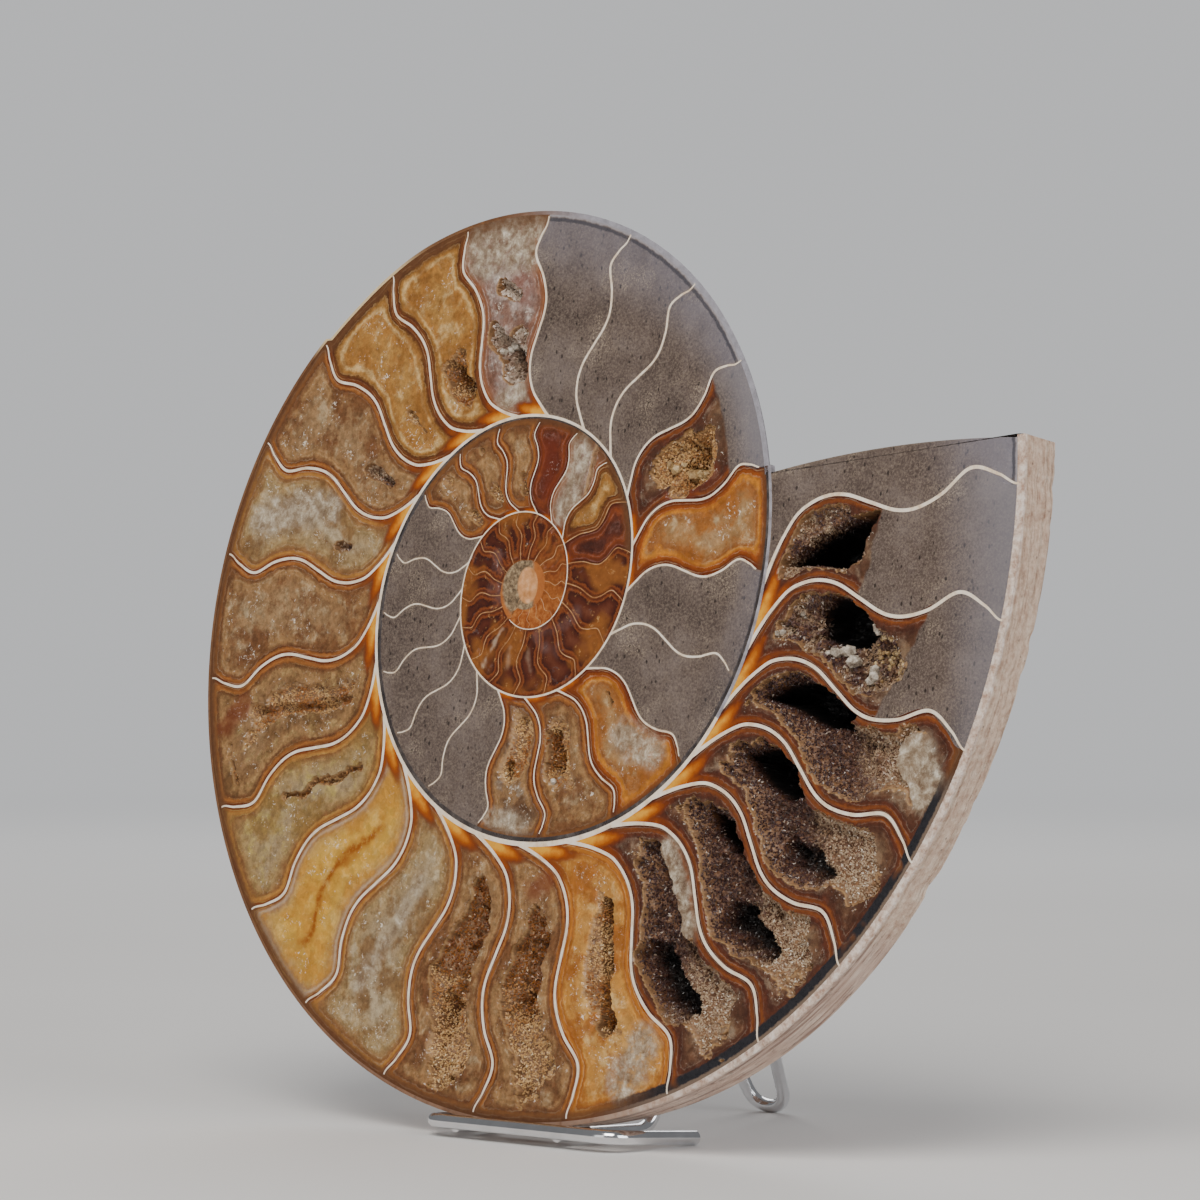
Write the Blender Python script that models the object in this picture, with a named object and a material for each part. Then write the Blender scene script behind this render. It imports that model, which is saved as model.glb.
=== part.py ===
"""Half of a cut and polished Cleoniceras ammonite, leaning on a bent wire stand. The cut face looks to -Y."""

import math

import bmesh
import bpy
from mathutils import Matrix, Vector

MM = 0.001

# Clear space between a hollow's wall and the crystals in it
GAP = 0.5

# Place of the spiral's centre above the table, and how the cut face stands: millimetres and degrees
CENTRE_X = -14.976
CENTRE_Y = -20.674
CENTRE_HEIGHT = 98.55
LEAN = 8.2
ROLL = 7.6

# Shell wall of the cut face: its radius at every 45 degrees of growth.
# Growth angle 0 points right, in the last whorl
FIRST_ANGLE = -855.0
ANGLE_STEP = 45.0
WHORL_RADII = (
    18.6, 20.5, 22.7, 25.4, 29.0, 31.3, 33.7, 37.8, 42.7, 47.1, 52.9,
    57.6, 63.7, 69.5, 75.9, 83.2, 90.6, 97.3, 105.8, 113.3, 121.0,
)

# The last whorl ends at a straight edge, from the venter of the whorl inside it to the outer corner
LAST_ANGLE = 5.1
START_ANGLE = -348.3
APERTURE_SHEAR = 6.6
SHEAR_SPAN = 65.0
COLUMNS = 88

# Section of the back, from the rim inwards: inset and depth behind the cut, as shares of the radius
BACK_PROFILE = (
    (0.006, 0.000), (0.030, 0.030), (0.070, 0.070), (0.120, 0.113), (0.180, 0.155), (0.250, 0.190),
    (0.340, 0.215), (0.430, 0.228), (0.530, 0.224), (0.610, 0.204), (0.670, 0.165), (0.730, 0.128), (0.800, 0.105),
)
# Width of the flat venter at growth angles, added to that depth and fading inwards
VENTER_WIDTHS = (
    (-348.3, 0.012), (-290.0, 0.012), (-200.0, 0.045), (-120.0, 0.082),
    (-60.0, 0.087), (-30.0, 0.071), (5.1, 0.085),
)
VENTER_FADE = 0.10
UMBILICUS_DEPTH = 7.0

# A flake of shell stands up from the rim where the last whorl ends
FLAKE_HEIGHT = 2.0
FLAKE_SPAN = 6.0
FLAKE_ROWS = 2

# Septa: the growth angle of each one's backward bend, from the aperture inwards
SEPTA = (
    0.6, -11.2, -22.9, -34.1, -46.3, -58.1, -70.6, -84.5, -98.1, -112.8, -128.6, -143.9, -158.4, -175.6,
    -192.4, -208.8, -225.9, -241.8, -257.9, -275.1, -293.4, -310.5, -327.9, -347.4, -365.7, -385.0, -404.8,
    -424.9, -446.8, -466.6,
)
# Their common curve: share of the whorl's height from the inner wall, and degrees forward of that bend
SEPTUM_CURVE = ((0.0, -8.0), (0.05, -1.5), (0.12, 2.4), (0.22, 4.1), (0.35, 2.9), (0.46, 0.8), (0.58, 0.0),
                (0.68, 0.9), (0.79, 2.7), (0.90, 1.5), (1.0, 0.0))

# Open chambers: the septum in front, the share of the chamber's width and of its height, and the depth
HOLLOWS = (
    (0, 0.14, 0.86, 0.09, 0.42, 12.0),
    (1, 0.10, 0.88, 0.10, 0.66, 12.0),
    (2, 0.12, 0.88, 0.11, 0.91, 13.0),
    (3, 0.12, 0.88, 0.11, 0.91, 13.0),
    (4, 0.12, 0.88, 0.11, 0.91, 13.0),
    (5, 0.12, 0.86, 0.11, 0.91, 12.0),
    (6, 0.36, 0.66, 0.22, 0.74, 8.0),
    (7, 0.22, 0.76, 0.24, 0.92, 8.0),
    (8, 0.26, 0.76, 0.16, 0.92, 8.0),
    (12, 0.36, 0.52, 0.15, 0.72, 5.0),
    (17, 0.26, 0.70, 0.17, 0.43, 7.0),
    (18, 0.12, 0.56, 0.15, 0.44, 6.0),
    (22, 0.14, 0.84, 0.20, 0.70, 6.0),
    (27, 0.12, 0.62, 0.18, 0.66, 5.0),
    (28, 0.14, 0.84, 0.10, 0.62, 5.0),
)
HOLLOW_POINTS = 24
HOLLOW_SQUARENESS = 0.62
# Rings of a hollow's wall: share of its depth, and its outline's size there
HOLLOW_RINGS = ((-0.10, 1.0), (0.55, 0.95), (0.86, 0.80), (1.0, 0.52))
# Hollows with a crust of crystals on the floor
CRUSTED = (1, 2, 3, 4, 5, 7, 8, 22)
# Rings of a crust, from its underside over its edge: outline's size, share of the depth, crystal height
CRUST_RINGS = (
    (0.50, 0.955, 0.0), (0.77, 0.83, 0.0), (0.86, 0.66, 0.0),
    (0.74, 0.72, 1.6), (0.54, 0.76, 2.2), (0.30, 0.78, 2.4),
)
CRUST_MIDDLE = 0.66

# Wire stand, placed from the spiral's centre.
# Front foot: its middle, its width, where it starts and ends, and the height of its rail
BEND_RADIUS = 5.0
FOOT_RADIUS = 1.3
FOOT_X = 12.9
FOOT_WIDTH = 46.2
FOOT_FRONT = -15.6
FOOT_BACK = 5.4
FOOT_RAIL_HEIGHT = 2.9

# Easel wire: its middle, and half its width, distance back and height at each bend
EASEL_X = 8.3
EASEL_RADIUS = 1.25
EASEL_BENDS = (
    (12.5, -13.9, 2.10),
    (12.5, 10.9, 1.25),
    (15.0, 20.1, 65.0),
    (14.0, 25.5, 66.0),
    (3.9, 57.0, 1.25),
)


def clear_scene():
    for item in list(bpy.data.objects):
        bpy.data.objects.remove(item, do_unlink=True)


def new_collection(name):
    collection = bpy.data.collections.new(name)
    bpy.context.scene.collection.children.link(collection)
    return collection


def new_material(name, color, roughness, metallic=0.0):
    material = bpy.data.materials.new(name)
    material.use_nodes = True
    shader = material.node_tree.nodes["Principled BSDF"]
    shader.inputs["Base Color"].default_value = (*color, 1.0)
    shader.inputs["Roughness"].default_value = roughness
    shader.inputs["Metallic"].default_value = metallic
    return material


def smooth_step(x):
    """Eased share of the way from 0 to 1."""
    x = min(max(x, 0.0), 1.0)
    return x * x * (3 - 2 * x)


def smooth_curve(table, x):
    """Value at x of a smooth curve through the table's (x, y) points."""
    last = len(table) - 2
    k = 0
    while k < last and x > table[k + 1][0]:
        k += 1
    before, start, end, after = (table[min(max(k + i, 0), last + 1)] for i in (-1, 0, 1, 2))
    span = end[0] - start[0]
    f = min(max((x - start[0]) / span, 0.0), 1.0)
    tangent_a = (end[1] - before[1]) / (end[0] - before[0]) * span
    tangent_b = (after[1] - start[1]) / (after[0] - start[0]) * span
    return ((2 * f**3 - 3 * f**2 + 1) * start[1] + (f**3 - 2 * f**2 + f) * tangent_a
            + (3 * f**2 - 2 * f**3) * end[1] + (f**3 - f**2) * tangent_b)


RADIUS_TABLE = [(FIRST_ANGLE + ANGLE_STEP * i, math.log(r)) for i, r in enumerate(WHORL_RADII)]


def wall_radius(angle):
    """Radius of the shell wall at a growth angle in degrees."""
    return math.exp(smooth_curve(RADIUS_TABLE, angle))


def septum_angle(index, height):
    return SEPTA[index] + smooth_curve(SEPTUM_CURVE, height)


def chamber_point(front, across, height):
    """Place on the cut face inside a chamber: across it towards the aperture, and height from the inner wall."""
    angle = septum_angle(front + 1, height) * (1 - across) + septum_angle(front, height) * across
    inner = wall_radius(angle - 360)
    radius = inner + (wall_radius(angle) - inner) * height
    return Vector((radius * math.cos(math.radians(angle)), radius * math.sin(math.radians(angle))))


def face_frame():
    """Turns (right, up, behind) of the cut face in millimetres into the part's metres."""
    upright = Matrix(((1, 0, 0, 0), (0, 0, 1, 0), (0, 1, 0, 0), (0, 0, 0, 1)))
    lean = Matrix.Rotation(math.radians(-LEAN), 4, "X")
    roll = Matrix.Rotation(math.radians(ROLL), 4, "Z")
    place = Matrix.Translation(Vector((CENTRE_X, CENTRE_Y, CENTRE_HEIGHT)) * MM)
    return place @ lean @ upright @ roll @ Matrix.Scale(MM, 4)


def add_mesh(name, mesh_data, collection, material, place):
    """Welds, turns outwards and places a bmesh as a named object."""
    bmesh.ops.remove_doubles(mesh_data, verts=mesh_data.verts, dist=1e-5)
    mesh_data.transform(place)
    mesh_data.normal_update()
    bmesh.ops.recalc_face_normals(mesh_data, faces=mesh_data.faces)
    mesh = bpy.data.meshes.new(name)
    mesh_data.to_mesh(mesh)
    mesh_data.free()
    piece = bpy.data.objects.new(name, mesh)
    piece.data.materials.append(material)
    collection.objects.link(piece)
    return piece


def back_profile(angle):
    """Section of the back at a growth angle."""
    venter = smooth_curve(VENTER_WIDTHS, angle)
    return [(inset, depth + venter * math.exp(-inset / VENTER_FADE)) for inset, depth in BACK_PROFILE]


def column_points(angle):
    """One section of the half shell at a growth angle, from the rim to near the centre."""
    radius = wall_radius(angle)
    flake = FLAKE_HEIGHT * max(0.0, 1 - (angle - START_ANGLE) / FLAKE_SPAN)
    sheared = APERTURE_SHEAR * smooth_step((angle - LAST_ANGLE + SHEAR_SPAN) / SHEAR_SPAN)
    inner_end = wall_radius(START_ANGLE)
    outer_end = wall_radius(LAST_ANGLE)
    points = []
    for i, (inset, depth) in enumerate([(0.0, 0.0)] + back_profile(angle)):
        r = radius * (1 - inset) + (flake if i < FLAKE_ROWS else 0.0)
        share = min(max((outer_end - r) / (outer_end - inner_end), 0.0), 1.0)
        turn = math.radians(angle + sheared * share)
        points.append(Vector((r * math.cos(turn), r * math.sin(turn), radius * depth)))
    return points


def ammonite_half(collection, material, place):
    """The fossil: a loft of sections round the centre, a flat cut face, and the broken end of the last whorl."""
    shell = bmesh.new()
    grid = []
    for i in range(COLUMNS + 1):
        angle = START_ANGLE + (LAST_ANGLE - START_ANGLE) * i / COLUMNS
        grid.append([shell.verts.new(point) for point in column_points(angle)])
    middle = shell.verts.new((0.0, 0.0, UMBILICUS_DEPTH))
    for one, two in zip(grid, grid[1:] + grid[:1]):
        for j in range(len(one) - 1):
            shell.faces.new((one[j], two[j], two[j + 1], one[j + 1]))
        shell.faces.new((one[-1], two[-1], middle))
    shell.faces.new([column[0] for column in grid])
    return add_mesh("ammonite_half", shell, collection, material, place)


def hollow_outline(front, across_range, height_range, size=1.0, inset=0.0):
    """Closed outline of a hollow on the cut face, shrunk towards its middle by a share and by millimetres."""
    points = []
    for i in range(HOLLOW_POINTS):
        turn = 2 * math.pi * i / HOLLOW_POINTS
        share = []
        for wave, (low, high) in ((math.cos(turn), across_range), (math.sin(turn), height_range)):
            bulge = math.copysign(abs(wave) ** HOLLOW_SQUARENESS, wave)
            share.append((low + high) / 2 + (high - low) / 2 * bulge * size)
        points.append(chamber_point(front, *share))
    middle = chamber_point(front, sum(across_range) / 2, sum(height_range) / 2)
    if inset:
        points = [p + (middle - p).normalized() * min(inset, (middle - p).length / 3) for p in points]
    return points, middle


def loft(mesh_data, rings):
    """Faces between rings of equal length."""
    for one, two in zip(rings, rings[1:]):
        for i in range(len(one)):
            j = (i + 1) % len(one)
            mesh_data.faces.new((one[i], one[j], two[j], two[i]))


def hollow_cutters(collection, material, place):
    """One closed body for each hollow, joined in a single cutter."""
    cutter = bmesh.new()
    for front, a0, a1, h0, h1, depth in HOLLOWS:
        rings = []
        for share, size in HOLLOW_RINGS:
            outline, _ = hollow_outline(front, (a0, a1), (h0, h1), size)
            rings.append([cutter.verts.new((p.x, p.y, depth * share)) for p in outline])
        loft(cutter, rings)
        cutter.faces.new(rings[0])
        cutter.faces.new(rings[-1])
    piece = add_mesh("hollow_cutters", cutter, collection, material, place)
    piece.hide_render = True
    piece.display_type = "WIRE"
    return piece


def crystal_crust(number, hollow, collection, material, place):
    """Bed of pointed crystals on a hollow's floor, a closed body clear of the wall."""
    front, a0, a1, h0, h1, depth = hollow
    crust = bmesh.new()

    rings = []
    for step, (size, share, spike) in enumerate(CRUST_RINGS):
        outline, middle = hollow_outline(front, (a0, a1), (h0, h1), size, GAP)
        ring = []
        for i, p in enumerate(outline):
            uneven = 0.55 + 0.45 * math.sin(1.7 * i + 2.3 * step + number)
            lift = spike * uneven * ((i + step) % 2)
            ring.append(crust.verts.new((p.x, p.y, depth * share - lift)))
        rings.append(ring)
    loft(crust, rings)
    crust.faces.new(rings[0])
    peak = crust.verts.new((middle.x, middle.y, depth * CRUST_MIDDLE))
    for i in range(HOLLOW_POINTS):
        crust.faces.new((rings[-1][i], rings[-1][(i + 1) % HOLLOW_POINTS], peak))
    return add_mesh(f"chamber_crystals_{number}", crust, collection, material, place)


def cut_hollows(body, cutter):
    cut = body.modifiers.new("hollows", "BOOLEAN")
    cut.operation = "DIFFERENCE"
    cut.solver = "EXACT"
    cut.object = cutter


def rounded_path(corners, radius, steps=4):
    """Points of a wire's path, with each inner corner turned on an arc."""
    path = [Vector(corners[0])]
    for a, b, c in zip(corners, corners[1:], corners[2:]):
        a, b, c = Vector(a), Vector(b), Vector(c)
        into, out = (b - a).normalized(), (c - b).normalized()
        half = into.angle(out) / 2
        reach = min(radius * math.tan(half), (b - a).length * 0.49, (c - b).length * 0.49)
        start, end = b - into * reach, b + out * reach
        for k in range(steps + 1):
            f = k / steps
            path.append(start * (1 - f) ** 2 + b * 2 * f * (1 - f) + end * f**2)
    path.append(Vector(corners[-1]))
    return path


def wire(name, path, radius, collection, material):
    curve = bpy.data.curves.new(name, "CURVE")
    curve.dimensions = "3D"
    curve.bevel_depth = radius * MM
    curve.bevel_resolution = 3
    curve.use_fill_caps = True
    curve.materials.append(material)
    spline = curve.splines.new("POLY")
    spline.points.add(len(path) - 1)
    for point, place in zip(spline.points, path):
        point.co = (*((place + Vector((CENTRE_X, CENTRE_Y, 0.0))) * MM), 1.0)
    piece = bpy.data.objects.new(name, curve)
    collection.objects.link(piece)
    return piece


def easel_wire(collection, material):
    """One wire: two runs under the fossil, two rests up its back, and a leg behind that ends in a round foot."""
    right = [(EASEL_X + half, y, z) for half, y, z in EASEL_BENDS]
    left = [(EASEL_X - half, y, z) for half, y, z in reversed(EASEL_BENDS)]
    return wire("easel_wire", rounded_path(right + left, BEND_RADIUS), EASEL_RADIUS, collection, material)


def front_foot(collection, material):
    """One wire across the front of the fossil, with both ends bent back under it to the table."""
    left = FOOT_X - FOOT_WIDTH / 2
    right = FOOT_X + FOOT_WIDTH / 2
    corners = [
        (left, FOOT_BACK, FOOT_RADIUS), (left, FOOT_FRONT, FOOT_RAIL_HEIGHT),
        (right, FOOT_FRONT, FOOT_RAIL_HEIGHT), (right, FOOT_BACK, FOOT_RADIUS),
    ]
    return wire("front_foot", rounded_path(corners, BEND_RADIUS), FOOT_RADIUS, collection, material)


def build():
    clear_scene()
    parts = new_collection("cleoniceras_ammonite")
    cutters = new_collection("cutters")
    stone = new_material("fossil_stone", (0.36, 0.24, 0.15), 0.35)
    druse = new_material("druse_crystals", (0.30, 0.22, 0.15), 0.30)
    chrome = new_material("chrome_wire", (0.80, 0.80, 0.82), 0.12, 1.0)
    place = face_frame()
    fossil = ammonite_half(parts, stone, place)
    cut_hollows(fossil, hollow_cutters(cutters, stone, place))
    for hollow in HOLLOWS:
        if hollow[0] in CRUSTED:
            crystal_crust(CRUSTED.index(hollow[0]) + 1, hollow, parts, druse, place)
    easel_wire(parts, chrome)
    front_foot(parts, chrome)


build()
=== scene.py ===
import math

import bmesh
import bpy
import numpy as np
from mathutils import Matrix, Vector, noise


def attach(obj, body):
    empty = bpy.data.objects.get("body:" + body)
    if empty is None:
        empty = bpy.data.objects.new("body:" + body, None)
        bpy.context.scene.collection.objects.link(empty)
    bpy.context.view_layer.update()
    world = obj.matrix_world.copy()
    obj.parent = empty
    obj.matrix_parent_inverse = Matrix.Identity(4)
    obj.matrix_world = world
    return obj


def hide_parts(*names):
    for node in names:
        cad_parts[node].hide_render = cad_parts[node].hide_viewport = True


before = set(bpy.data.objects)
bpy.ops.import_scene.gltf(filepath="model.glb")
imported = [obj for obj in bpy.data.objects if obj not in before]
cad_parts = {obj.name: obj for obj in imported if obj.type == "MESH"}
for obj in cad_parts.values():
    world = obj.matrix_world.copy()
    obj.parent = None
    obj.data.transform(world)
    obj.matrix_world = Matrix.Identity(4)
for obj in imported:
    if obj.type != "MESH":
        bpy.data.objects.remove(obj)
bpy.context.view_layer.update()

# Place of the polished face, in millimetres and degrees, as in the part's source
MM = 0.001
CENTRE_X = -14.976
CENTRE_Y = -20.674
CENTRE_HEIGHT = 98.55
LEAN = 8.2
ROLL = 7.6

# Outer wall of the spiral, every 45 degrees of growth
FIRST_ANGLE = -1350.0
ANGLE_STEP = 45.0
WHORL_RADII = (
    4.5, 5.5, 6.4, 7.0, 8.1, 9.3, 9.95, 11.6, 13.5, 15.2, 16.4, 18.6, 20.5, 22.7, 25.4, 29.0, 31.3, 33.7,
    37.8, 42.7, 47.1, 52.9, 57.6, 63.7, 69.5, 75.9, 83.2, 90.6, 97.3, 105.8, 113.3, 121.0,
)
LAST_ANGLE = 5.1
START_ANGLE = -348.3
CORE_ANGLE = -1206.0
APERTURE_SHEAR = 6.6
SHEAR_SPAN = 65.0

# Septa, counted inwards from the mouth, and the line that each one follows across its whorl
SEPTA = (
    0.6, -11.2, -22.9, -34.1, -46.3, -58.1, -70.6, -84.5, -98.1, -112.8, -128.6, -143.9, -158.4, -175.6,
    -192.4, -208.8, -225.9, -241.8, -257.9, -275.1, -293.4, -310.5, -327.9, -347.4, -365.7, -385.0,
    -404.8, -424.9, -446.8, -466.6, -486.6, -505.4, -523.6, -540.5, -558.2, -579.1, -598.7, -618.0,
    -637.1, -656.4, -676.0, -695.4, -715.5, -735.3, -755.6, -777.5, -799.0, -820.0, -840.0, -860.0,
    -881.5, -900.5, -920.6, -941.0, -962.5, -982.5, -1003.7, -1025.0, -1047.0, -1068.0, -1088.0,
    -1108.3, -1128.6, -1148.9, -1169.2, -1189.5, -1209.8,
)
FIRST_INNER_SEPTUM = 41
LAST_OUTER_SEPTUM = 18
# The chambers up to this one reach the rim, where the shell covers them
LAST_RIM_CHAMBER = 22
OUTER_CURVE = (
    (0.0, -8.0), (0.02, -4.6), (0.05, -1.2), (0.10, 2.2), (0.15, 3.6), (0.22, 4.2), (0.30, 3.7),
    (0.40, 1.9), (0.50, 0.3), (0.58, 0.0), (0.68, 0.9), (0.79, 2.8), (0.90, 1.6), (0.96, 0.5), (1.0, 0.4),
)
MIDDLE_CURVE = (
    (0.0, -4.6), (0.02, -3.0), (0.05, -0.9), (0.10, 2.0), (0.15, 3.5), (0.22, 4.2), (0.30, 3.7),
    (0.40, 1.9), (0.50, 0.3), (0.58, 0.0), (0.68, 1.1), (0.79, 3.1), (0.88, 2.0), (0.93, 0.9), (1.0, 0.4),
)
INNER_CURVE = (
    (0.0, 9.5), (0.10, 7.8), (0.25, 5.0), (0.38, 1.6), (0.50, 0.0), (0.60, 1.4), (0.75, 5.0), (0.88, 3.0),
    (1.0, 0.4),
)

# Back of the half: depth by inset from the rim, both as shares of the radius
BACK_PROFILE = (
    (0.006, 0.0), (0.030, 0.030), (0.070, 0.070), (0.120, 0.113), (0.180, 0.155), (0.250, 0.190),
    (0.340, 0.215), (0.430, 0.228), (0.530, 0.224), (0.610, 0.204), (0.670, 0.165), (0.730, 0.128),
    (0.800, 0.105),
)
VENTER_WIDTHS = (
    (-348.3, 0.012), (-290.0, 0.012), (-200.0, 0.045), (-120.0, 0.082), (-60.0, 0.087), (-30.0, 0.071),
    (5.1, 0.085),
)
VENTER_FADE = 0.10
UMBILICUS_INSET = 0.80
UMBILICUS_DEPTH = 7.0
RIBS = 46.0
RIB_DEPTH = 0.55
GROOVE_DEPTH = 1.4
FLANK_INSETS = np.concatenate([
    [0.0], np.linspace(0.006, 0.03, 5), np.linspace(0.04, 0.12, 9), np.linspace(0.135, 0.34, 14),
    np.linspace(0.36, UMBILICUS_INSET, 24), np.linspace(0.83, 0.97, 6),
])

# Shell at the rim, and the bowl in it that holds the chambers, in mm and as shares of the radius
SHELL_WIDTHS = (
    (-348.3, 1.1), (-300.0, 1.0), (-260.0, 0.6), (-110.0, 0.6), (-70.0, 1.0), (-45.0, 1.5), (0.0, 1.7),
    (12.0, 1.8),
)
SHELL_COLUMNS = 620
BOWL_SHARES = (0.0, 0.004, 0.02, 0.06, 0.12, 0.22, 0.36, 0.55, 0.75, 0.92)
BOWL_DEPTH = 14.5
BOWL_WALL = 1.6

# Hollows that follow a chamber: front septum, across from to, height from to, depth and slope in mm
ROOMS = (
    (0, 0.14, 0.90, 0.05, 0.40, 2.4, 0.9),
    (1, 0.12, 0.90, 0.09, 0.66, 3.8, 1.1),
    (2, 0.12, 0.90, 0.09, 0.92, 3.6, 1.2),
    (3, 0.12, 0.90, 0.09, 0.93, 3.6, 1.2),
    (4, 0.12, 0.90, 0.10, 0.93, 3.6, 1.2),
    (5, 0.13, 0.88, 0.10, 0.93, 3.4, 1.2),
    (6, 0.36, 0.66, 0.20, 0.76, 1.3, 0.8),
    (7, 0.22, 0.78, 0.22, 0.93, 2.4, 0.6),
    (8, 0.24, 0.78, 0.14, 0.93, 2.4, 0.6),
    (12, 0.30, 0.62, 0.12, 0.78, 1.3, 0.5),
    (17, 0.26, 0.70, 0.16, 0.44, 2.6, 0.9),
    (18, 0.14, 0.60, 0.14, 0.46, 2.4, 0.9),
    (22, 0.15, 0.84, 0.20, 0.70, 3.4, 1.0),
    (27, 0.12, 0.66, 0.16, 0.67, 1.8, 1.4),
    (28, 0.18, 0.84, 0.10, 0.62, 1.2, 1.4),
)
ROOM_SQUARENESS = 2.4
# Holes that follow a line: front septum, points as growth angle and height, half width, depth and slope in mm
HOLES = (
    (3, ((-41.5, 0.53), (-41.0, 0.68)), 2.6, 5.0, 1.6),
    (4, ((-53.4, 0.54), (-52.2, 0.70)), 3.2, 6.0, 1.6),
    (5, ((-67.2, 0.50), (-65.4, 0.70)), 3.6, 8.0, 1.6),
    (6, ((-77.0, 0.68), (-74.4, 0.45), (-72.0, 0.27)), 1.7, 6.0, 0.8),
    (7, ((-92.6, 0.60), (-90.0, 0.48), (-88.0, 0.36)), 2.6, 3.0, 2.0),
    (7, ((-91.6, 0.56), (-90.8, 0.60)), 1.8, 4.6, 1.0),
    (8, ((-105.6, 0.80), (-103.2, 0.55), (-100.4, 0.24)), 2.2, 2.4, 2.0),
    (8, ((-106.0, 0.62), (-105.4, 0.70)), 2.0, 4.6, 1.0),
    (11, (
        (-153.0, 0.62), (-150.9, 0.52), (-151.2, 0.44), (-148.2, 0.34), (-147.6, 0.26), (-145.8, 0.20),
    ), 0.8, 2.6, 0.6),
    (12, ((-168.4, 0.72), (-165.2, 0.45), (-161.4, 0.19)), 1.5, 2.4, 1.2),
    (12, ((-165.0, 0.88), (-160.2, 0.88)), 0.8, 2.0, 0.5),
    (14, ((-196.2, 0.27), (-196.0, 0.33)), 1.0, 2.2, 0.6),
    (14, ((-199.0, 0.84), (-198.4, 0.87)), 0.8, 1.8, 0.5),
    (15, ((-214.4, 0.19), (-213.8, 0.34)), 1.1, 2.8, 0.7),
    (16, ((-231.2, 0.20), (-230.6, 0.34)), 0.5, 1.8, 0.4),
    (17, ((-248.6, 0.22), (-245.4, 0.36)), 2.2, 5.0, 1.1),
    (18, ((-267.0, 0.21), (-260.4, 0.42)), 2.4, 4.4, 0.8),
    (18, ((-267.0, 0.60), (-263.4, 0.66)), 1.5, 3.4, 0.7),
    (22, ((-341.0, 0.36), (-333.4, 0.50)), 2.6, 4.0, 1.1),
    (26, ((-410.2, 0.31), (-408.2, 0.24)), 0.5, 1.8, 0.4),
    (27, ((-438.4, 0.30), (-439.8, 0.50)), 1.8, 4.6, 0.9),
    (28, ((-457.8, 0.48), (-457.6, 0.53)), 1.2, 5.5, 0.7),
    (28, ((-452.4, 0.16), (-451.8, 0.23)), 0.8, 1.4, 0.8),
    (35, ((-588.2, 0.17), (-588.0, 0.29)), 0.8, 1.8, 0.5),
    (35, ((-588.4, 0.76), (-587.8, 0.80)), 0.6, 1.2, 0.4),
    (36, ((-608.4, 0.23), (-606.6, 0.34)), 0.8, 1.8, 0.5),
    (36, ((-606.4, 0.81), (-605.8, 0.84)), 0.6, 1.2, 0.4),
    (37, ((-627.2, 0.22), (-626.8, 0.38)), 0.9, 2.0, 0.5),
    (39, ((-672.0, 0.30), (-664.0, 0.86)), 2.6, 1.4, 1.0),
)
# Holes with their own outline, painted nearly black inside as painted shade: front septum, depth and slope in
# mm, corners across and up in mm on the face
OUTLINED_HOLES = (
    (0, 12.0, 0.5, ((60.5, -4.2), (66.0, -0.6), (74.0, 1.3), (82.2, 1.4), (75.2, -7.0), (68.0, -5.6))),
    (1, 9.0, 0.8, (
        (66.4, -17.6), (66.8, -13.0), (70.0, -11.2), (74.6, -12.2), (79.2, -16.2), (78.6, -19.4),
        (75.0, -20.6), (71.0, -20.0),
    )),
    (2, 9.0, 0.8, (
        (55.2, -27.0), (58.8, -25.2), (64.0, -25.0), (70.0, -27.4), (76.6, -33.0), (73.6, -34.4),
        (67.4, -33.2), (61.2, -29.6),
    )),
    (3, 9.0, 0.8, (
        (50.4, -36.4), (54.4, -35.6), (59.0, -36.6), (63.4, -41.0), (63.6, -45.2), (58.6, -44.6),
        (53.6, -41.4),
    )),
    (4, 9.0, 0.8, (
        (42.6, -45.6), (47.0, -47.4), (50.8, -52.6), (50.6, -55.0), (46.6, -52.6), (43.0, -48.6),
    )),
)
# White calcite and red stains on the cut: front septum, points, half width in mm
PALE_PATCHES = (
    (2, ((-24.8, 0.80), (-27.6, 0.93)), 4.0),
    (5, ((-56.4, 0.20), (-57.4, 0.34), (-59.4, 0.48)), 2.0),
    (6, ((-75.4, 0.88), (-71.8, 0.78)), 3.6),
    (9, ((-121.5, 0.75), (-117.0, 0.28)), 1.0),
    (14, ((-203.0, 0.45), (-198.0, 0.82)), 3.0),
    (18, ((-270.0, 0.86), (-261.0, 0.86)), 5.4),
    (18, ((-268.0, 0.12), (-262.0, 0.10)), 2.4),
    (39, ((-669.0, 0.20), (-660.0, 0.90)), 3.0),
    (28, ((-463.0, 0.84), (-452.0, 0.88)), 1.8),
    (26, ((-412.0, 0.55), (-408.0, 0.75)), 3.0),
)
RED_PATCHES = (
    (18, ((-269.0, 0.60), (-268.0, 0.66)), 2.2),
    (12, ((-170.0, 0.78), (-168.0, 0.90)), 2.0),
    (38, ((-648.0, 0.30), (-643.0, 0.70)), 2.0),
    (7, ((-88.0, 0.16), (-85.0, 0.14)), 2.0),
    (22, ((-344.0, 0.30), (-342.0, 0.60)), 1.6),
)
PALE_SOFTNESS = 3.4
RED_SOFTNESS = 2.6
# White calcite in the small chambers: its line from the front septum, half width, softness and strength
INNER_PATCHES = {
    46: (((-10.0, 0.35), (-8.0, 0.60)), 0.3, 1.4, 0.2),
    47: (((-10.0, 0.35), (-8.0, 0.60)), 0.3, 1.4, 0.2),
    48: (((-10.0, 0.20), (-9.0, 0.85)), 0.35, 0.8, 0.5),
}
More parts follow.
